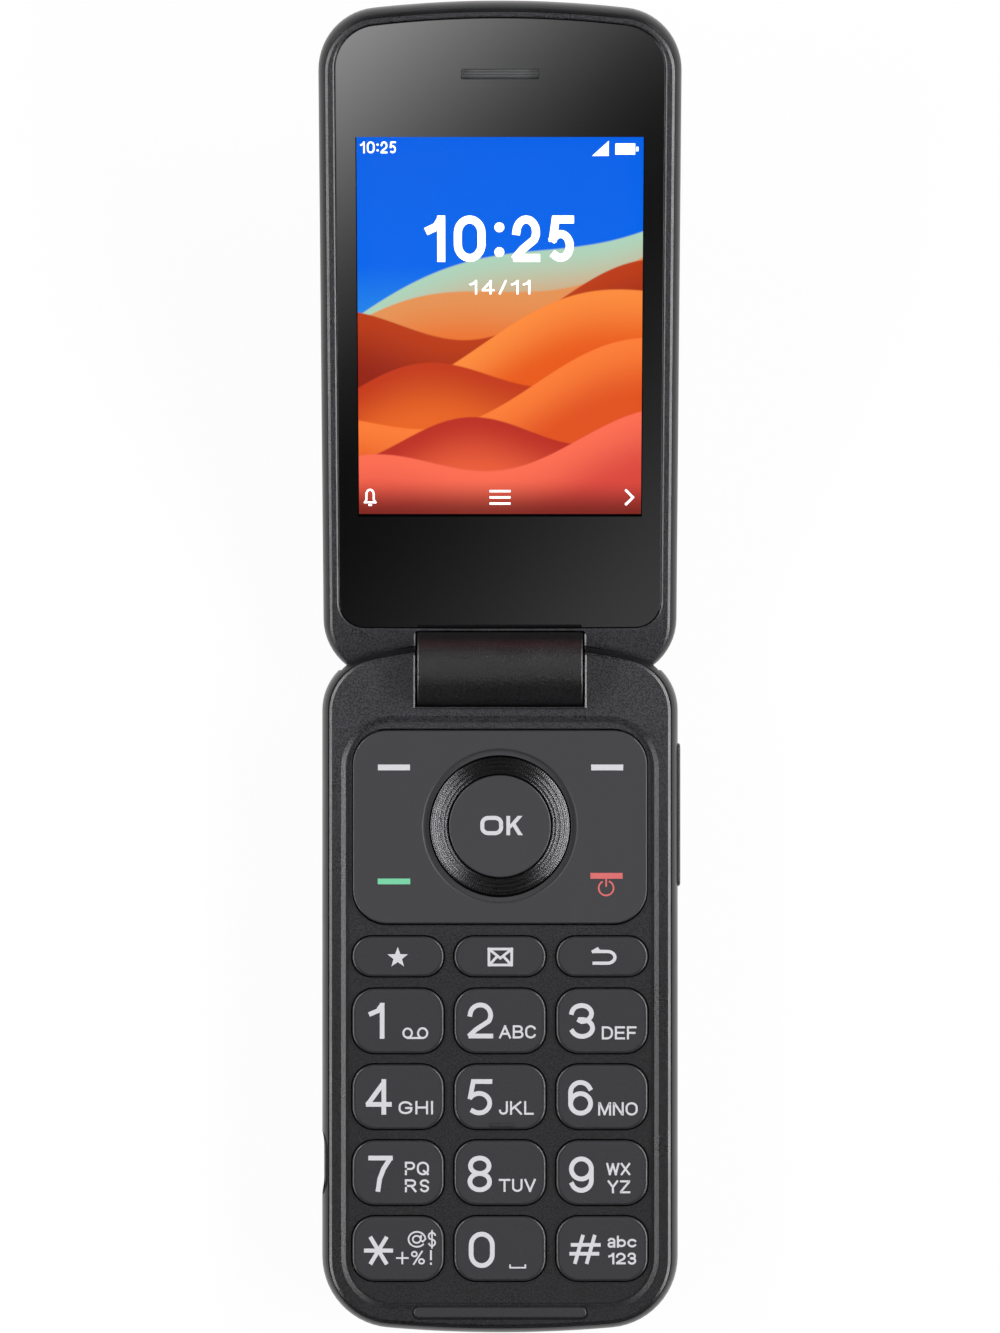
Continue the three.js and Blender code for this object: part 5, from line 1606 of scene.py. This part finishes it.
@dataclass
class Base:
    """The lower half: both housings, the battery cover, bumper, rocker and socket."""

    fitter: Fitter
    keypad: Keypad
    navigation: Navigation
    rim: float = 10.35
    deck: float = 9.65
    deck_bottom: float = 8.85
    skirt: float = 7.3
    skirt_wall: float = 1.15
    side_top: float = 9.2
    belly: Step = (3.2, 5.0)
    brow: Step = (1.0, 3.8)
    waist: float = 5.4
    hollow_end: float = 42.2
    back_corner: float = 4.0
    cover_end: float = 43.5
    cover_gap: float = 0.15
    cover_rim: float = 2.7
    cover_wall: float = 1.0
    nail: Plan = Plan(27.5, -38, 6, 9, 1.2)
    nail_depth: float = 0.9
    slot: Plan = Plan(-9, 38.5, 0.9, 3.8, 0.44)
    slot_pitch: float = 2.2
    slot_top: float = 2.05
    chamber_wall: float = 2.3
    chamber_floor: float = 2.05
    battery: Plan = Plan(0, 7, 40, 52)
    battery_gap: float = 0.2
    battery_top: float = 5.6
    tray_wall: float = 1.0
    tray_top: float = 6.2
    screws: tuple[Point, ...] = ((-20.2, 39.8), (20.2, 39.8), (-19.8, -43.5), (19.8, -43.5))
    screw_foot: float = 3.1
    pillar: float = 2.2
    boss_foot: float = 3.2
    pilot_top: float = 7.1
    head_room: float = 2.0
    module_rooms: tuple[tuple[float, ...], ...] = (
        (1.9, 12.1, 32.5, 38.2, 1, 9.2), (-15, -3, 36.6, 40.4, -RUN, 5),
        (-7.2, 6.2, -37.5, -23.5, -RUN, 5))
    recess: Plan = Plan(0, -3.145, 49.1, 91.41, 8.1)
    recess_slope: tuple[Step, ...] = ((0.12, 0.03), (0.65, 0.36), (0.12, 0.035))
    recess_wall: float = 0.05
    opening_foot: float = 7.9
    key_gap: float = 0.22
    panel_gap: float = 0.14
    panel_opening: float = 30.3
    strip: Plan = Plan(0, -49.3, 26.6, 1.66, 0.8)
    strip_seat: Plan = Plan(0, -49.275, 26.82, 1.99, 0.9)
    strip_foot: float = 9.8
    strip_top: Step = (0.32, 0.25)
    strip_wall: float = 0.3
    notch_frame: Plan = Plan(0, HINGE_Y, 2 * NOTCH_HALF, 11.6, 0.1)
    button: Plan = Plan(27.17, 5.4, 22.15, 2.8, 1.2)
    button_hole: Plan = Plan(27.17, 5.4, 22.55, 3.2, 1.59)
    button_reach: Point = (24.5, 32.0)
    button_face: float = 27.87
    button_root: float = 25.2
    button_edge: float = 0.35
    flange: tuple[float, ...] = (24.9, 25.5, 15.69, 38.65, 4.0, 6.8)
    flange_room: tuple[float, ...] = (24.3, 25.7, 15.29, 39.05, 3.5, 7.3)
    sign_depth: float = 0.15
    signs: tuple[Plan, ...] = (
        Plan(27.17 - 6.5, 5.4, 0.5, 1.4, 0.2), Plan(27.17 + 6.5, 5.4, 0.5, 1.4, 0.2),
        Plan(27.17 + 6.5, 5.4, 1.4, 0.5, 0.2))
    shell: Plan = Plan(26.55, 4.625, 8.94, 3.15, 1.2)
    shell_wall: float = 0.32
    shell_reach: Point = (20.0, 26.4)
    shell_floor: float = 21.2
    shell_hole: Plan = Plan(26.55, 4.625, 9.24, 3.45, 1.35)
    shell_hole_end: float = 27.0
    tongue: Plan = Plan(26.55, 4.625, 6.6, 0.7, 0.2)
    tongue_reach: Point = (21.1, 25.8)
    lead_in: Plan = Plan(26.55, 6.3, 9.0, 5.6, 2.2)
    lead_in_start: float = 26.5
    lead_in_flare: Step = (-0.35, 0.6)

    def build(self) -> None:
        """Builds the lower half's pieces."""
        self.front_housing()
        self.rear_housing()
        self.battery_cover()
        self.bumper()
        self.rocker()
        self.socket()

    def skin(self, extra: float = 0.0) -> Blank:
        """The outer form of the base, drawn in all round by an extra inset."""
        return Blank().arched(BASE.inset(extra), self.waist).body(
            quarter(*self.brow, 10, BROW_TURN),
            [(0, self.waist - self.belly[1]), *quarter(*self.belly, 12)])

    def barrel_room(self) -> Blank:
        """What the hinge barrel turns in, open towards the lid."""
        return rod(-NOTCH_HALF, NOTCH_HALF, HINGE_Y, HINGE_Z, NOTCH_RADIUS, 128).plus(box(
            -NOTCH_HALF, NOTCH_HALF, HINGE_Y, HINGE_Y + FAR, HINGE_Z - RUN,
            HINGE_Z + 2 * NOTCH_RADIUS))

    def front_housing(self) -> None:
        """The plate round the keys, with its rim, sunk deck and openings."""
        draw, drop = CHAMFER
        start, past = self.rim - drop, self.rim + RUN
        shell = Blank().arched(FRONT, start).body([CHAMFER], [(0, start - self.skirt)])
        raised = collar(self.notch_frame, self.rim)
        hollow = plate(FRONT.inset(self.skirt_wall), self.skirt - RUN, self.deck_bottom).cut(
            box(-FAR, FAR, self.hollow_end - HAIR, FAR, 0, self.rim))
        under = box(-FAR, FAR, self.hollow_end, FAR, 0, self.deck_bottom - HAIR)
        plans = [plan.grown(self.key_gap) for plan in self.keypad.places().values()]
        plans.append(replace(
            self.navigation.plan.grown(self.panel_gap), length=self.panel_opening))
        openings = together(slab(plan, self.opening_foot, past, 12) for plan in plans)
        reach = plate(FRONT.inset(draw), self.rim - 2 * HAIR, past)
        body = shell.plus(raised.within(reach)).cut(hollow, under, self.recess_cutter())
        body = body.plus(posts(self.screws, BOSS, self.boss_foot, self.deck - HAIR)).cut(
            openings, slab(self.strip_seat.grown(HAIR), self.strip_foot, past),
            posts(self.screws, PILOT, 0, self.pilot_top), self.barrel_room(), pin_bores())
        self.fitter.fit(body, "keypad_housing", "base", "housing", DECK, "base_front_housing")

    def recess_cutter(self) -> Blank:
        """The room over the sunk deck: a slope with soft edges, and a short wall.

        Returns:
            The cutter.
        """
        plan, height = self.recess, self.rim
        levels = [(plan, height + RUN), (plan, height)]
        for inset, drop in self.recess_slope:
            plan, height = plan.grown(-inset), height - drop
            levels.append((plan, height))
        levels.append((plan.grown(-self.recess_wall), self.deck))
        return Blank().loft(levels)

    def rear_housing(self) -> None:
        """The tub of the base with its battery bay and the openings in its sides."""
        corner, top, low = self.back_corner, self.side_top, BASE.bottom - RUN
        end = [(low, -RUN), *arc_points((HINGE_Y - corner, corner), corner, -90, 0, 12),
               (HINGE_Y, top + RUN), (low, top + RUN)]
        skin = self.skin().within(sideways(end, BASE.half + RUN))
        round_end = shoulders(0).within(
            box(-BASE.half, BASE.half, HINGE_Y - HAIR, FAR, 0, top), self.skin())
        gap = self.cover_gap
        floor = self.cover_wall + gap
        cover_room = box(
            -FAR, FAR, -FAR, self.cover_end + gap, -RUN, self.cover_rim + gap).cut(
            self.skin(floor).within(box(-FAR, FAR, -FAR, FAR, floor, top)))
        chamber = plate(BASE.inset(self.chamber_wall), self.chamber_floor, self.skirt).cut(
            box(-FAR, FAR, self.hollow_end, FAR, 0, top),
            slab(self.battery.grown(self.tray_wall), 0, self.tray_top),
            posts(self.screws, self.pillar, 0, self.screw_foot))
        seat = plate(FRONT.inset(-HAIR), self.skirt - HAIR, top + RUN).cut(
            box(-FAR, FAR, self.hollow_end, FAR, 0, self.deck_bottom - 2 * HAIR))
        body = skin.plus(round_end).cut(
            cover_room, chamber, seat,
            slab(self.battery.grown(self.battery_gap), -RUN, self.battery_top),
            posts(self.screws, PILOT, -RUN, self.screw_foot + RUN),
            posts(self.screws, SCREW_HEAD, -RUN, self.head_room),
            *(box(*room) for room in self.module_rooms), self.rocker_slot(), self.socket_slot(),
            self.barrel_room(), pin_bores())
        self.fitter.fit(body, "rear_casing", "base", "side", SIDE, "base_rear_housing")

    def rocker_slot(self) -> Blank:
        """The opening of the volume rocker and the room of its flange."""
        slot = slab(self.button_hole, *self.button_reach).moved(ON_SIDE)
        return slot.plus(box(*self.flange_room))

    def socket_slot(self) -> Blank:
        """The opening of the socket with its lead-in.

        Returns:
            The cutter.
        """
        slot = slab(self.shell_hole, self.shell_reach[0], self.shell_hole_end).moved(ON_OTHER_SIDE)
        lead_in = Blank().rounded(self.lead_in, self.lead_in_start, 10).body(
            up=[self.lead_in_flare, (0, RUN)])
        return slot.plus(lead_in.moved(ON_OTHER_SIDE))

    def battery_cover(self) -> None:
        """The cover over the battery, with its nail notch and speaker slots."""
        shell = self.skin().within(box(-FAR, FAR, -FAR, self.cover_end, -RUN, self.cover_rim))
        inner = self.skin(self.cover_wall).within(
            box(-FAR, FAR, -FAR, FAR, self.cover_wall, self.side_top))
        nail = slab(self.nail, self.cover_rim - self.nail_depth, self.cover_rim + RUN)
        slots = together(
            slab(replace(self.slot, x=self.slot.x + step * self.slot_pitch), -RUN,
                 self.slot_top, 6)
            for step in range(-2, 3))
        self.fitter.fit(
            shell.cut(inner, nail, slots), "battery_door", "battery_cover", "side", DOOR,
            "battery_cover")

    def bumper(self) -> None:
        """The soft strip at the chin that meets the closed lid."""
        body = Blank().rounded(self.strip, self.rim - self.strip_top[1], 10).body(
            quarter(*self.strip_top, 6), [(0, self.strip_wall)])
        self.fitter.fit(body, "chin_strip", "base", "cap", CAP, "chin_bumper")

    def rocker(self) -> None:
        """The volume rocker, a long button with a flange behind the wall."""
        edge, face = self.button_edge, self.button_face
        body = Blank().rounded(self.button, face - edge, 10).body(
            quarter(edge, edge, 5), [(0, face - edge - self.button_root)]).moved(ON_SIDE)
        dents = [slab(sign, face - self.sign_depth, face + RUN, 4).moved(ON_SIDE)
                 for sign in self.signs]
        body = body.cut(*dents).plus(box(*self.flange))
        self.fitter.fit(body, "rocker_key", "volume_rocker", "cap", CAP, "volume_rocker")

    def socket(self) -> None:
        """The charging socket: a drawn shell round a tongue."""
        root, mouth = self.shell_reach
        bore = slab(self.shell.grown(-self.shell_wall), self.shell_floor, mouth + RUN)
        shell = slab(self.shell, root, mouth).cut(bore).moved(ON_OTHER_SIDE)
        self.fitter.fit(shell, "socket_shell", "base", "metal", NICKEL, "usb_connector")
        tongue = slab(self.tongue, *self.tongue_reach, 4)
        self.fitter.fit(
            tongue.moved(ON_OTHER_SIDE), "socket_tongue", "base", "moulding", MOULDING)


@dataclass
class Lid:
    """The upper half, worked flat in its own frame: length from the hinge axis, then tilt."""

    fitter: Fitter
    face: float = -2.35
    back: float = -10.75
    belly: Step = (3.0, 3.6)
    brow: Step = (1.0, 2.8)
    brow_end: float = -3.5
    lens_drop: float = 0.08
    lens_thickness: float = 1.0
    lens_edge: float = 0.15
    lens_black: Colour = (0.001, 0.001, 0.0012)
    ledge: float = 1.3
    web: float = 2.25
    skirt: float = 3.05
    skirt_wall: float = 1.2
    cavity_start: float = 9.0
    cavity_wall: float = 2.4
    cavity_floor: float = 1.2
    seat_gap: float = 0.03
    seat_drop: float = 0.2
    boss_roots: Point = (-5.6, -7.5)
    pilot_root: float = -11.0
    pilot_foot: float = -9.5
    head_drop: float = 2.15
    run_gap: float = 0.27
    lip: Step = (0.2, 0.11)
    display: Plan = Plan(0, 50.5, 47.2, 66, 0.8)
    display_drop: float = 1.4
    display_edge: float = 0.1
    display_depth: float = 2.1
    display_gap: float = 0.2
    active_edge: float = 0.12
    active: Plan = Plan(0, 53.04, 43.3, 58.42)
    ear: Plan = Plan(0, 91.88, 11.7, 1.6, 0.2)
    ear_room: float = 0.8
    mesh_flange: float = 0.4
    mesh_thickness: float = 0.3
    mesh_gap: float = 0.04
    mesh_drop: float = 0.2
    mesh_rise: float = 0.4
    hole: float = 0.14
    hole_pitch: float = 0.42
    hole_squeeze: float = 0.95
    hole_rows: int = 4
    hole_columns: int = 28
    outer_lens: Plan = Plan(0, 74.5, 36, 45, 5)
    outer_lens_black: Colour = (0.0035, 0.0035, 0.004)
    outer_lens_depth: float = 0.72
    outer_lens_seat: float = 0.85
    outer_display: Plan = Plan(0, 68.5, 28, 30)
    outer_display_drop: float = 1.05
    outer_display_depth: float = 1.4
    outer_border: float = 1.5
    camera_y: float = 90.5
    camera_case: Plan = Plan(0, 90.5, 6.5, 6.5, 0.4)
    camera_depths: Step = (1.3, 3.2)
    camera_hole: float = 2.6
    camera_steps: tuple[Step, ...] = (
        (0, 1.2), (1.1, 1.25), (1.35, 0.95), (1.9, 0.95), (2.2, 0.85), (2.2, 1.4), (0, 1.4))
    eye: float = 2.7
    screws: tuple[Point, ...] = ((-8.5, 11), (8.5, 11))
    barrel_half: float = 12.7
    barrel_radius: float = 5.8
    barrel_edge: float = 0.3
    flex_bore: Point = (3.2, -2.1)
    pin_depth: float = 2.9
    notch_floor: float = -5.8
    notch_frame: Plan = Plan(0, -0.5, 2 * NOTCH_HALF, 11.2, 0.1)
    notch_frame_edge: float = 0.5
    hip: Point = (1.66, -6)
    hip_radius: float = 2.56
    hip_turn: float = 215.0
    slope_pulls: Point = (9.5, 16.0)
    slope_steps: int = 8
    arm_half: float = 11.5
    arm_start: float = 3.0
    arm_low: float = -7.3
    arm_top: float = -5.75
    arm_step: Point = (5.1, -4.2)
    arm_end: float = 14.0
    arm_gap: float = 0.3
    arm_room: float = 9.1

    def build(self) -> None:
        """Builds the upper half's pieces."""
        self.frame_piece()
        self.rear_cover()
        self.barrel()
        self.lens()
        self.screen()
        self.screen_marks()
        self.earpiece()
        self.outer_window()

    def fit(self, blank: Blank, name: str, slot: str, finish: Finish, *nodes: str) -> None:
        """Fits a piece of the lid."""
        self.fitter.fit(blank, name, "lid", slot, finish, *nodes, tilted=True)

    def side(self) -> Blank:
        """Room of the lid seen from its side, scooped and rounded at the hinge.

        Returns:
            A body as wide as the lid and more.
        """
        end = arc_points(
            self.hip, self.hip_radius, -90 - math.degrees(LID_TILT), -self.hip_turn, 12)
        pulls = (end[0], *((y, self.back) for y in self.slope_pulls))
        slope = []
        for i in range(1, self.slope_steps + 1):
            t = i / self.slope_steps
            shares = ((1 - t) ** 2, 2 * t * (1 - t), t ** 2)
            slope.append(tuple(
                sum(share * pull[axis] for share, pull in zip(shares, pulls)) for axis in (0, 1)))
        far = LID.top + RUN
        points = [(end[-1][0], RUN), *reversed(end), *slope, (far, self.back), (far, RUN)]
        return sideways(points, LID.half + RUN)

    def scoop(self) -> Blank:
        """What the base's round shoulders sweep through."""
        return shoulders(self.run_gap).shifted(0, -HINGE_Y, -HINGE_Z)

    def barrel_room(self) -> Blank:
        """What the barrel fills, open towards the base."""
        return rod(-NOTCH_HALF, NOTCH_HALF, 0, 0, NOTCH_RADIUS, 128).plus(
            box(-NOTCH_HALF, NOTCH_HALF, -NOTCH_RADIUS, self.hip[0], self.notch_floor, RUN))

    def arm(self, grow: float, end: float) -> Blank:
        """The barrel's arm, grown by a gap, up to its end.

        Args:
            grow: the gap.
            end: where it ends along the lid.

        Returns:
            The arm.
        """
        half, start, low = self.arm_half + grow, self.arm_start - grow, self.arm_low - grow
        step, top = self.arm_step
        return box(-half, half, start, end, low, self.arm_top + grow).plus(
            box(-half, half, start, step + grow, low, top + grow))

    def frame_piece(self) -> None:
        """The frame round the main lens."""
        low, start = self.face - self.skirt, self.face - CHAMFER[1]
        shell = Blank().arched(LID_FRAME, start).body(
            [CHAMFER], [(0, start - low)]).within(self.side())
        hollow = plate(LID_FRAME.inset(self.skirt_wall), low - RUN, self.face - self.web).cut(
            box(-FAR, FAR, -FAR, self.cavity_start, -FAR, 0))
        draw, drop = self.lip
        pocket = Blank().arched(LENS.inset(-HAIR - draw), self.face).body(
            up=[(0, RUN)], down=[self.lip, (0, self.ledge - drop)])
        raised = collar(self.notch_frame, self.face).within(
            self.side(), plate(LID_FRAME.inset(self.notch_frame_edge), low, RUN))
        shell = shell.plus(raised)
        body = shell.cut(hollow).plus(
            posts(self.screws, BOSS, self.boss_roots[0], self.face - self.web + HAIR))
        body = body.cut(
            pocket, slab(self.display.grown(self.display_gap), low - RUN, RUN),
            posts(self.screws, SCREW_HEAD, self.face - self.head_drop, RUN),
            posts(self.screws, PILOT, self.pilot_root, RUN),
            slab(self.ear.grown(self.ear_room), low - RUN, RUN),
            self.scoop(), self.barrel_room(), self.arm(self.arm_gap, self.arm_room))
        self.fit(body, "lens_frame", "housing", DECK, "lid_front_frame")

    def rear_cover(self) -> None:
        """The back of the lid, with the pocket of the outer window."""
        waist = self.back + self.belly[1]
        skin = Blank().arched(LID, waist).body(
            [(0, self.brow_end - self.brow[1] - waist), *quarter(*self.brow, 10, BROW_TURN)],
            quarter(*self.belly, 12)).within(self.side())
        low = self.face - self.skirt
        cavity = plate(LID.inset(self.cavity_wall), self.back + self.cavity_floor, low).cut(
            box(-FAR, FAR, -FAR, self.cavity_start, -FAR, 0))
        seat = plate(LID_FRAME.inset(-self.seat_gap), low - self.seat_drop, RUN)
        pocket = slab(
            self.outer_lens.grown(HAIR), self.back - RUN, self.back + self.outer_lens_seat, 12)
        opening = slab(self.outer_display.grown(self.display_gap), self.back, 0)
        body = skin.cut(cavity, seat, pocket, opening, self.arm(self.arm_gap, self.arm_room))
        boss_foot = self.back + self.cavity_floor - HAIR
        body = body.plus(posts(self.screws, BOSS, boss_foot, self.boss_roots[1])).cut(
            posts(self.screws, PILOT, self.pilot_foot, 0),
            post((0, self.camera_y), self.camera_hole, self.back, 0, 48), self.scoop(),
            self.barrel_room())
        self.fit(body, "lid_back", "side", SIDE, "lid_rear_cover")

    def barrel(self) -> None:
        """The hinge barrel with the arm that is screwed into the lid."""
        half, edge, radius = self.barrel_half, self.barrel_edge, self.barrel_radius
        end = [(-half, 0.0), *arc_points((edge - half, radius - edge), edge, 180, 90, 5)]
        outline = [*end, *((-x, y) for x, y in reversed(end))]
        drum = Blank().chain([(x, y, 0.0) for x, y in outline]).revolved(
            (1, 0, 0), (0, 0, 0), 160)
        bore, bore_end = self.flex_bore
        body = drum.plus(self.arm(0, self.arm_end)).cut(
            rod(-half - RUN, bore_end, 0, 0, bore, 48),
            rod(half - self.pin_depth, half + RUN, 0, 0, PIN_BORE, 32),
            posts(self.screws, PILOT, self.pilot_root, 0))
        self.fit(body, "barrel", "housing", BARREL, "hinge_barrel")

    def lens(self) -> None:
        """The clear front with its black border."""
        edge = self.lens_edge
        start = self.face - self.lens_drop - edge
        body = Blank().arched(LENS, start).body(
            quarter(edge, edge, 4), [(0, self.lens_thickness - edge)])
        glass = WindowLens(
            "front_lens", self.lens_black, self.active.grown(self.active_edge))
        self.fit(
            body.cut(slab(self.ear, self.back, RUN, 10)), "front_window", "lens", glass,
            "main_lens")

    def screen(self) -> None:
        """The display module with its lit picture."""
        edge, top = self.display_edge, self.face - self.display_drop
        body = Blank().rounded(self.display, top - edge, 4).body(
            quarter(edge, edge, 2), [(0, self.display_depth)])
        picture = Picture("lit_picture", (0.003, 0.003, 0.004), self.active)
        self.fit(body, "display_panel", "display", picture, "display_module")

    def screen_marks(self) -> None:
        """Clock, date, signal, battery and soft-key signs on the lit display."""
        top = self.face - self.display_drop
        ink = Lettering(ink=0.03)
        drawn = [ink.word(Word(*row), top) for row in SCREEN_WORDS]
        drawn += [ink.dot(*row, top) for row in SCREEN_DOTS]
        drawn += [ink.bar(*row, top) for row in SCREEN_BARS]
        drawn.append(ink.shape(SIGNAL, top))
        self.fit(together(drawn), "display_signs", "display", LIT_INK)

    def earpiece(self) -> None:
        """The pierced screen of the earpiece, which rises into its slot."""
        top = self.face - self.lens_drop - self.lens_thickness - self.mesh_drop
        flange = slab(self.ear.grown(self.mesh_flange), top - self.mesh_thickness, top, 8)
        body = flange.plus(
            slab(self.ear.grown(-self.mesh_gap), top - HAIR, top + self.mesh_rise, 8))
        holes = []
        for row in range(self.hole_rows):
            step = row - (self.hole_rows - 1) / 2
            y = self.ear.y + step * self.hole_pitch * self.hole_squeeze
            for column in range(self.hole_columns):
                step = column - (self.hole_columns - 1) / 2 + (row % 2) / 2 - 0.25
                holes.append(
                    post((step * self.hole_pitch, y), self.hole, top - RUN, top + RUN, 6))
        self.fit(body.cut(together(holes)), "earpiece_grille", "metal", MESH, "earpiece_mesh")

    def outer_window(self) -> None:
        """The window, small display and camera on the lid's back."""
        edge = self.lens_edge
        body = Blank().rounded(self.outer_lens, self.back + self.lens_drop + edge, 12).body(
            [(0, self.outer_lens_depth - edge)], quarter(edge, edge, 4))
        bare = self.outer_display.grown(-self.outer_border)
        glass = WindowLens(
            "back_window_glass", self.outer_lens_black, bare, clear=0.2,
            eye=(0.0, self.camera_y, self.eye))
        self.fit(body, "back_window", "lens", glass, "outer_lens")
        edge = self.display_edge
        small = Blank().rounded(self.outer_display, self.back + self.outer_display_drop, 2).body(
            [(0, self.outer_display_depth)], quarter(edge, edge, 2))
        self.fit(small, "back_display", "display", PACK_WRAP, "outer_display")
        case = slab(self.camera_case, *(self.back + depth for depth in self.camera_depths))
        eye = turned((0.0, self.camera_y), [
            (radius, self.back + height) for radius, height in self.camera_steps], 64)
        self.fit(case.plus(eye), "camera_block", "moulding", MOULDING, "camera_module")


# Stage, camera and lights

@dataclass(frozen=True)
class Softbox:
    """A rectangular lamp, placed by where it stands as seen from the middle of the phone."""

    name: str
    side: float
    ahead: float
    distance: float
    width: float
    length: float
    power: float
    aim: Place = (0.0, 0.05, 0.01)

    def hang(self) -> None:
        """Hangs the lamp and turns it to what it lights."""
        data = bpy.data.lights.new(self.name, "AREA")
        data.shape, data.size, data.size_y = "RECTANGLE", self.length, self.width
        data.energy = self.power
        lamp = linked(self.name, data)
        across, along = math.radians(self.side), math.radians(self.ahead)
        way = Vector((math.tan(across), math.tan(along), 1)).normalized()
        lamp.location = Vector(self.aim) + way * self.distance
        lamp.rotation_mode = "QUATERNION"
        lamp.rotation_quaternion = (-way).to_track_quat("-Z", "Y")


@dataclass(frozen=True)
class SoftPanel:
    """A soft panel on the studio's wall, brightest in one corner and fading from it.

    Its places are the slopes of the directions that it is seen in, across and along.
    """

    across: float
    along: float
    shade: float
    fade_across: float
    fade_along: float
    gain: float = 25.0
    gamma: float = 2.2

    def glow(self, graph: Graph, across: Value, along: Value) -> Value:
        """How brightly the panel shines in each direction.

        Args:
            graph: the world's graph.
            across: slope of the direction across.
            along: slope of the direction along.

        Returns:
            The strength that it adds.
        """
        level = self.shade - (across - self.across) * self.fade_across
        level = level - (self.along - along) * self.fade_along
        level = graph.maths("MAXIMUM", graph.maths("MINIMUM", level, self.shade), 0.0)
        edge = graph.smooth(graph.maths("ABSOLUTE", across), 0.1, 0.04)
        edge = edge * graph.smooth(graph.maths("ABSOLUTE", along + 0.49), 0.16, 0.1)
        return graph.maths("POWER", level, self.gamma) * self.gain * edge


@dataclass
class Studio:
    """Floor, world, lamps and the camera above the phone."""

    fitter: Fitter
    focal_pixels: float = 5050.0
    sensor: float = 36.0
    camera_y: float = 0.05009
    camera_z: float = 0.787
    clip: Point = (0.01, 20.0)
    sheet: Plan = Plan(0, 0, 8000, 8000)
    sheet_drop: float = 0.05
    horizon: float = 0.5
    dim: float = 0.035
    overhead: float = 0.66
    corners: float = 3.6
    panels: tuple[SoftPanel, ...] = (
        SoftPanel(-0.033, -0.41, 0.62, 5.75, 5.9),
        SoftPanel(0.034, -0.561, 0.245, -2.5, -1.85),
    )
    boxes: tuple[Softbox, ...] = (
        Softbox("left_box", -60, 6, 1.1, 0.2, 1.7, 14.0),
        Softbox("right_box", 60, 6, 1.1, 0.2, 1.7, 19.5),
    )

    def build(self) -> None:
        """Sets the stage up."""
        self.camera()
        self.floor()
        self.world()
        for softbox in self.boxes:
            softbox.hang()
        bpy.context.scene.view_settings.view_transform = "Standard"

    def camera(self) -> None:
        """The camera, straight above, with the photograph's reach."""
        data = bpy.data.cameras.new("camera")
        data.sensor_width = self.sensor
        data.lens = self.sensor * self.focal_pixels / PHOTO_HEIGHT
        data.clip_start, data.clip_end = self.clip
        camera = linked("camera", data)
        camera.location = (0, self.camera_y, self.camera_z)
        bpy.context.scene.camera = camera

    def floor(self) -> None:
        """A wide sheet of white paper."""
        floor = Blank().rounded(self.sheet, -self.sheet_drop).model("floor")
        floor.data.transform(TO_METRES)
        floor.data.materials.append(self.fitter.finish(WHITE_PAPER))

    def world(self) -> None:
        """A studio that is white low down and dim overhead."""
        world = bpy.data.worlds.new("studio")
        bpy.context.scene.world = world
        graph = Graph(world)
        x, y, up = graph.axes(graph.value("ShaderNodeTexCoord", "Generated"))
        low = (1 - graph.smooth(up, 0.05, 0.45)) * graph.smooth(y, -0.75, 0.0)
        low = low * (1 - 0.65 * graph.smooth(y, 0.7, 0.92))
        around = self.dim + (self.horizon - self.dim) * low
        across, along = x / up, y / up
        wide, far = across / 0.3, (along - 0.3) / 0.9
        canopy = graph.smooth(wide * wide + far * far, 1.0, 0.1) * graph.smooth(along, -0.38, -0.2)
        around = around + self.overhead * canopy * (up > 0.1)
        belt = graph.smooth(graph.maths("ABSOLUTE", up - 0.52), 0.16, 0.05)
        belt = belt * graph.smooth(y, 0.3, 0.5) * graph.smooth(y, 0.78, 0.68)
        around = around + self.corners * belt
        for panel in self.panels:
            around = around + panel.glow(graph, across, along) * (up > 0.5)
        back = graph.value("ShaderNodeBackground", inputs={
            "Color": (1, 1, 1),
            "Strength": graph.maths("MAXIMUM", around, graph.rays("Is Camera Ray"))})
        graph.node("ShaderNodeOutputWorld", inputs={"Surface": back})


@dataclass
class Inside:
    """The CAD nodes that stay in view, each with a finish of its own."""

    fitter: Fitter

    def build(self) -> None:
        """Dresses every CAD node that no piece stands for."""
        for name, node in sorted(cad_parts.items()):
            if not node.hide_render:
                self.fitter.dress(name, INSIDE.get(name, STEEL))


def main() -> None:
    """Builds the phone's looks, piece by piece, and writes how large they came out."""
    logging.basicConfig(level=logging.INFO, format="%(message)s", stream=sys.stdout)
    fitter = Fitter()
    Studio(fitter).build()
    keypad = Keypad(fitter)
    navigation = Navigation(fitter)
    keypad.build()
    navigation.build()
    Base(fitter, keypad, navigation).build()
    Lid(fitter).build()
    Inside(fitter).build()


if __name__ == "__main__":
    main()
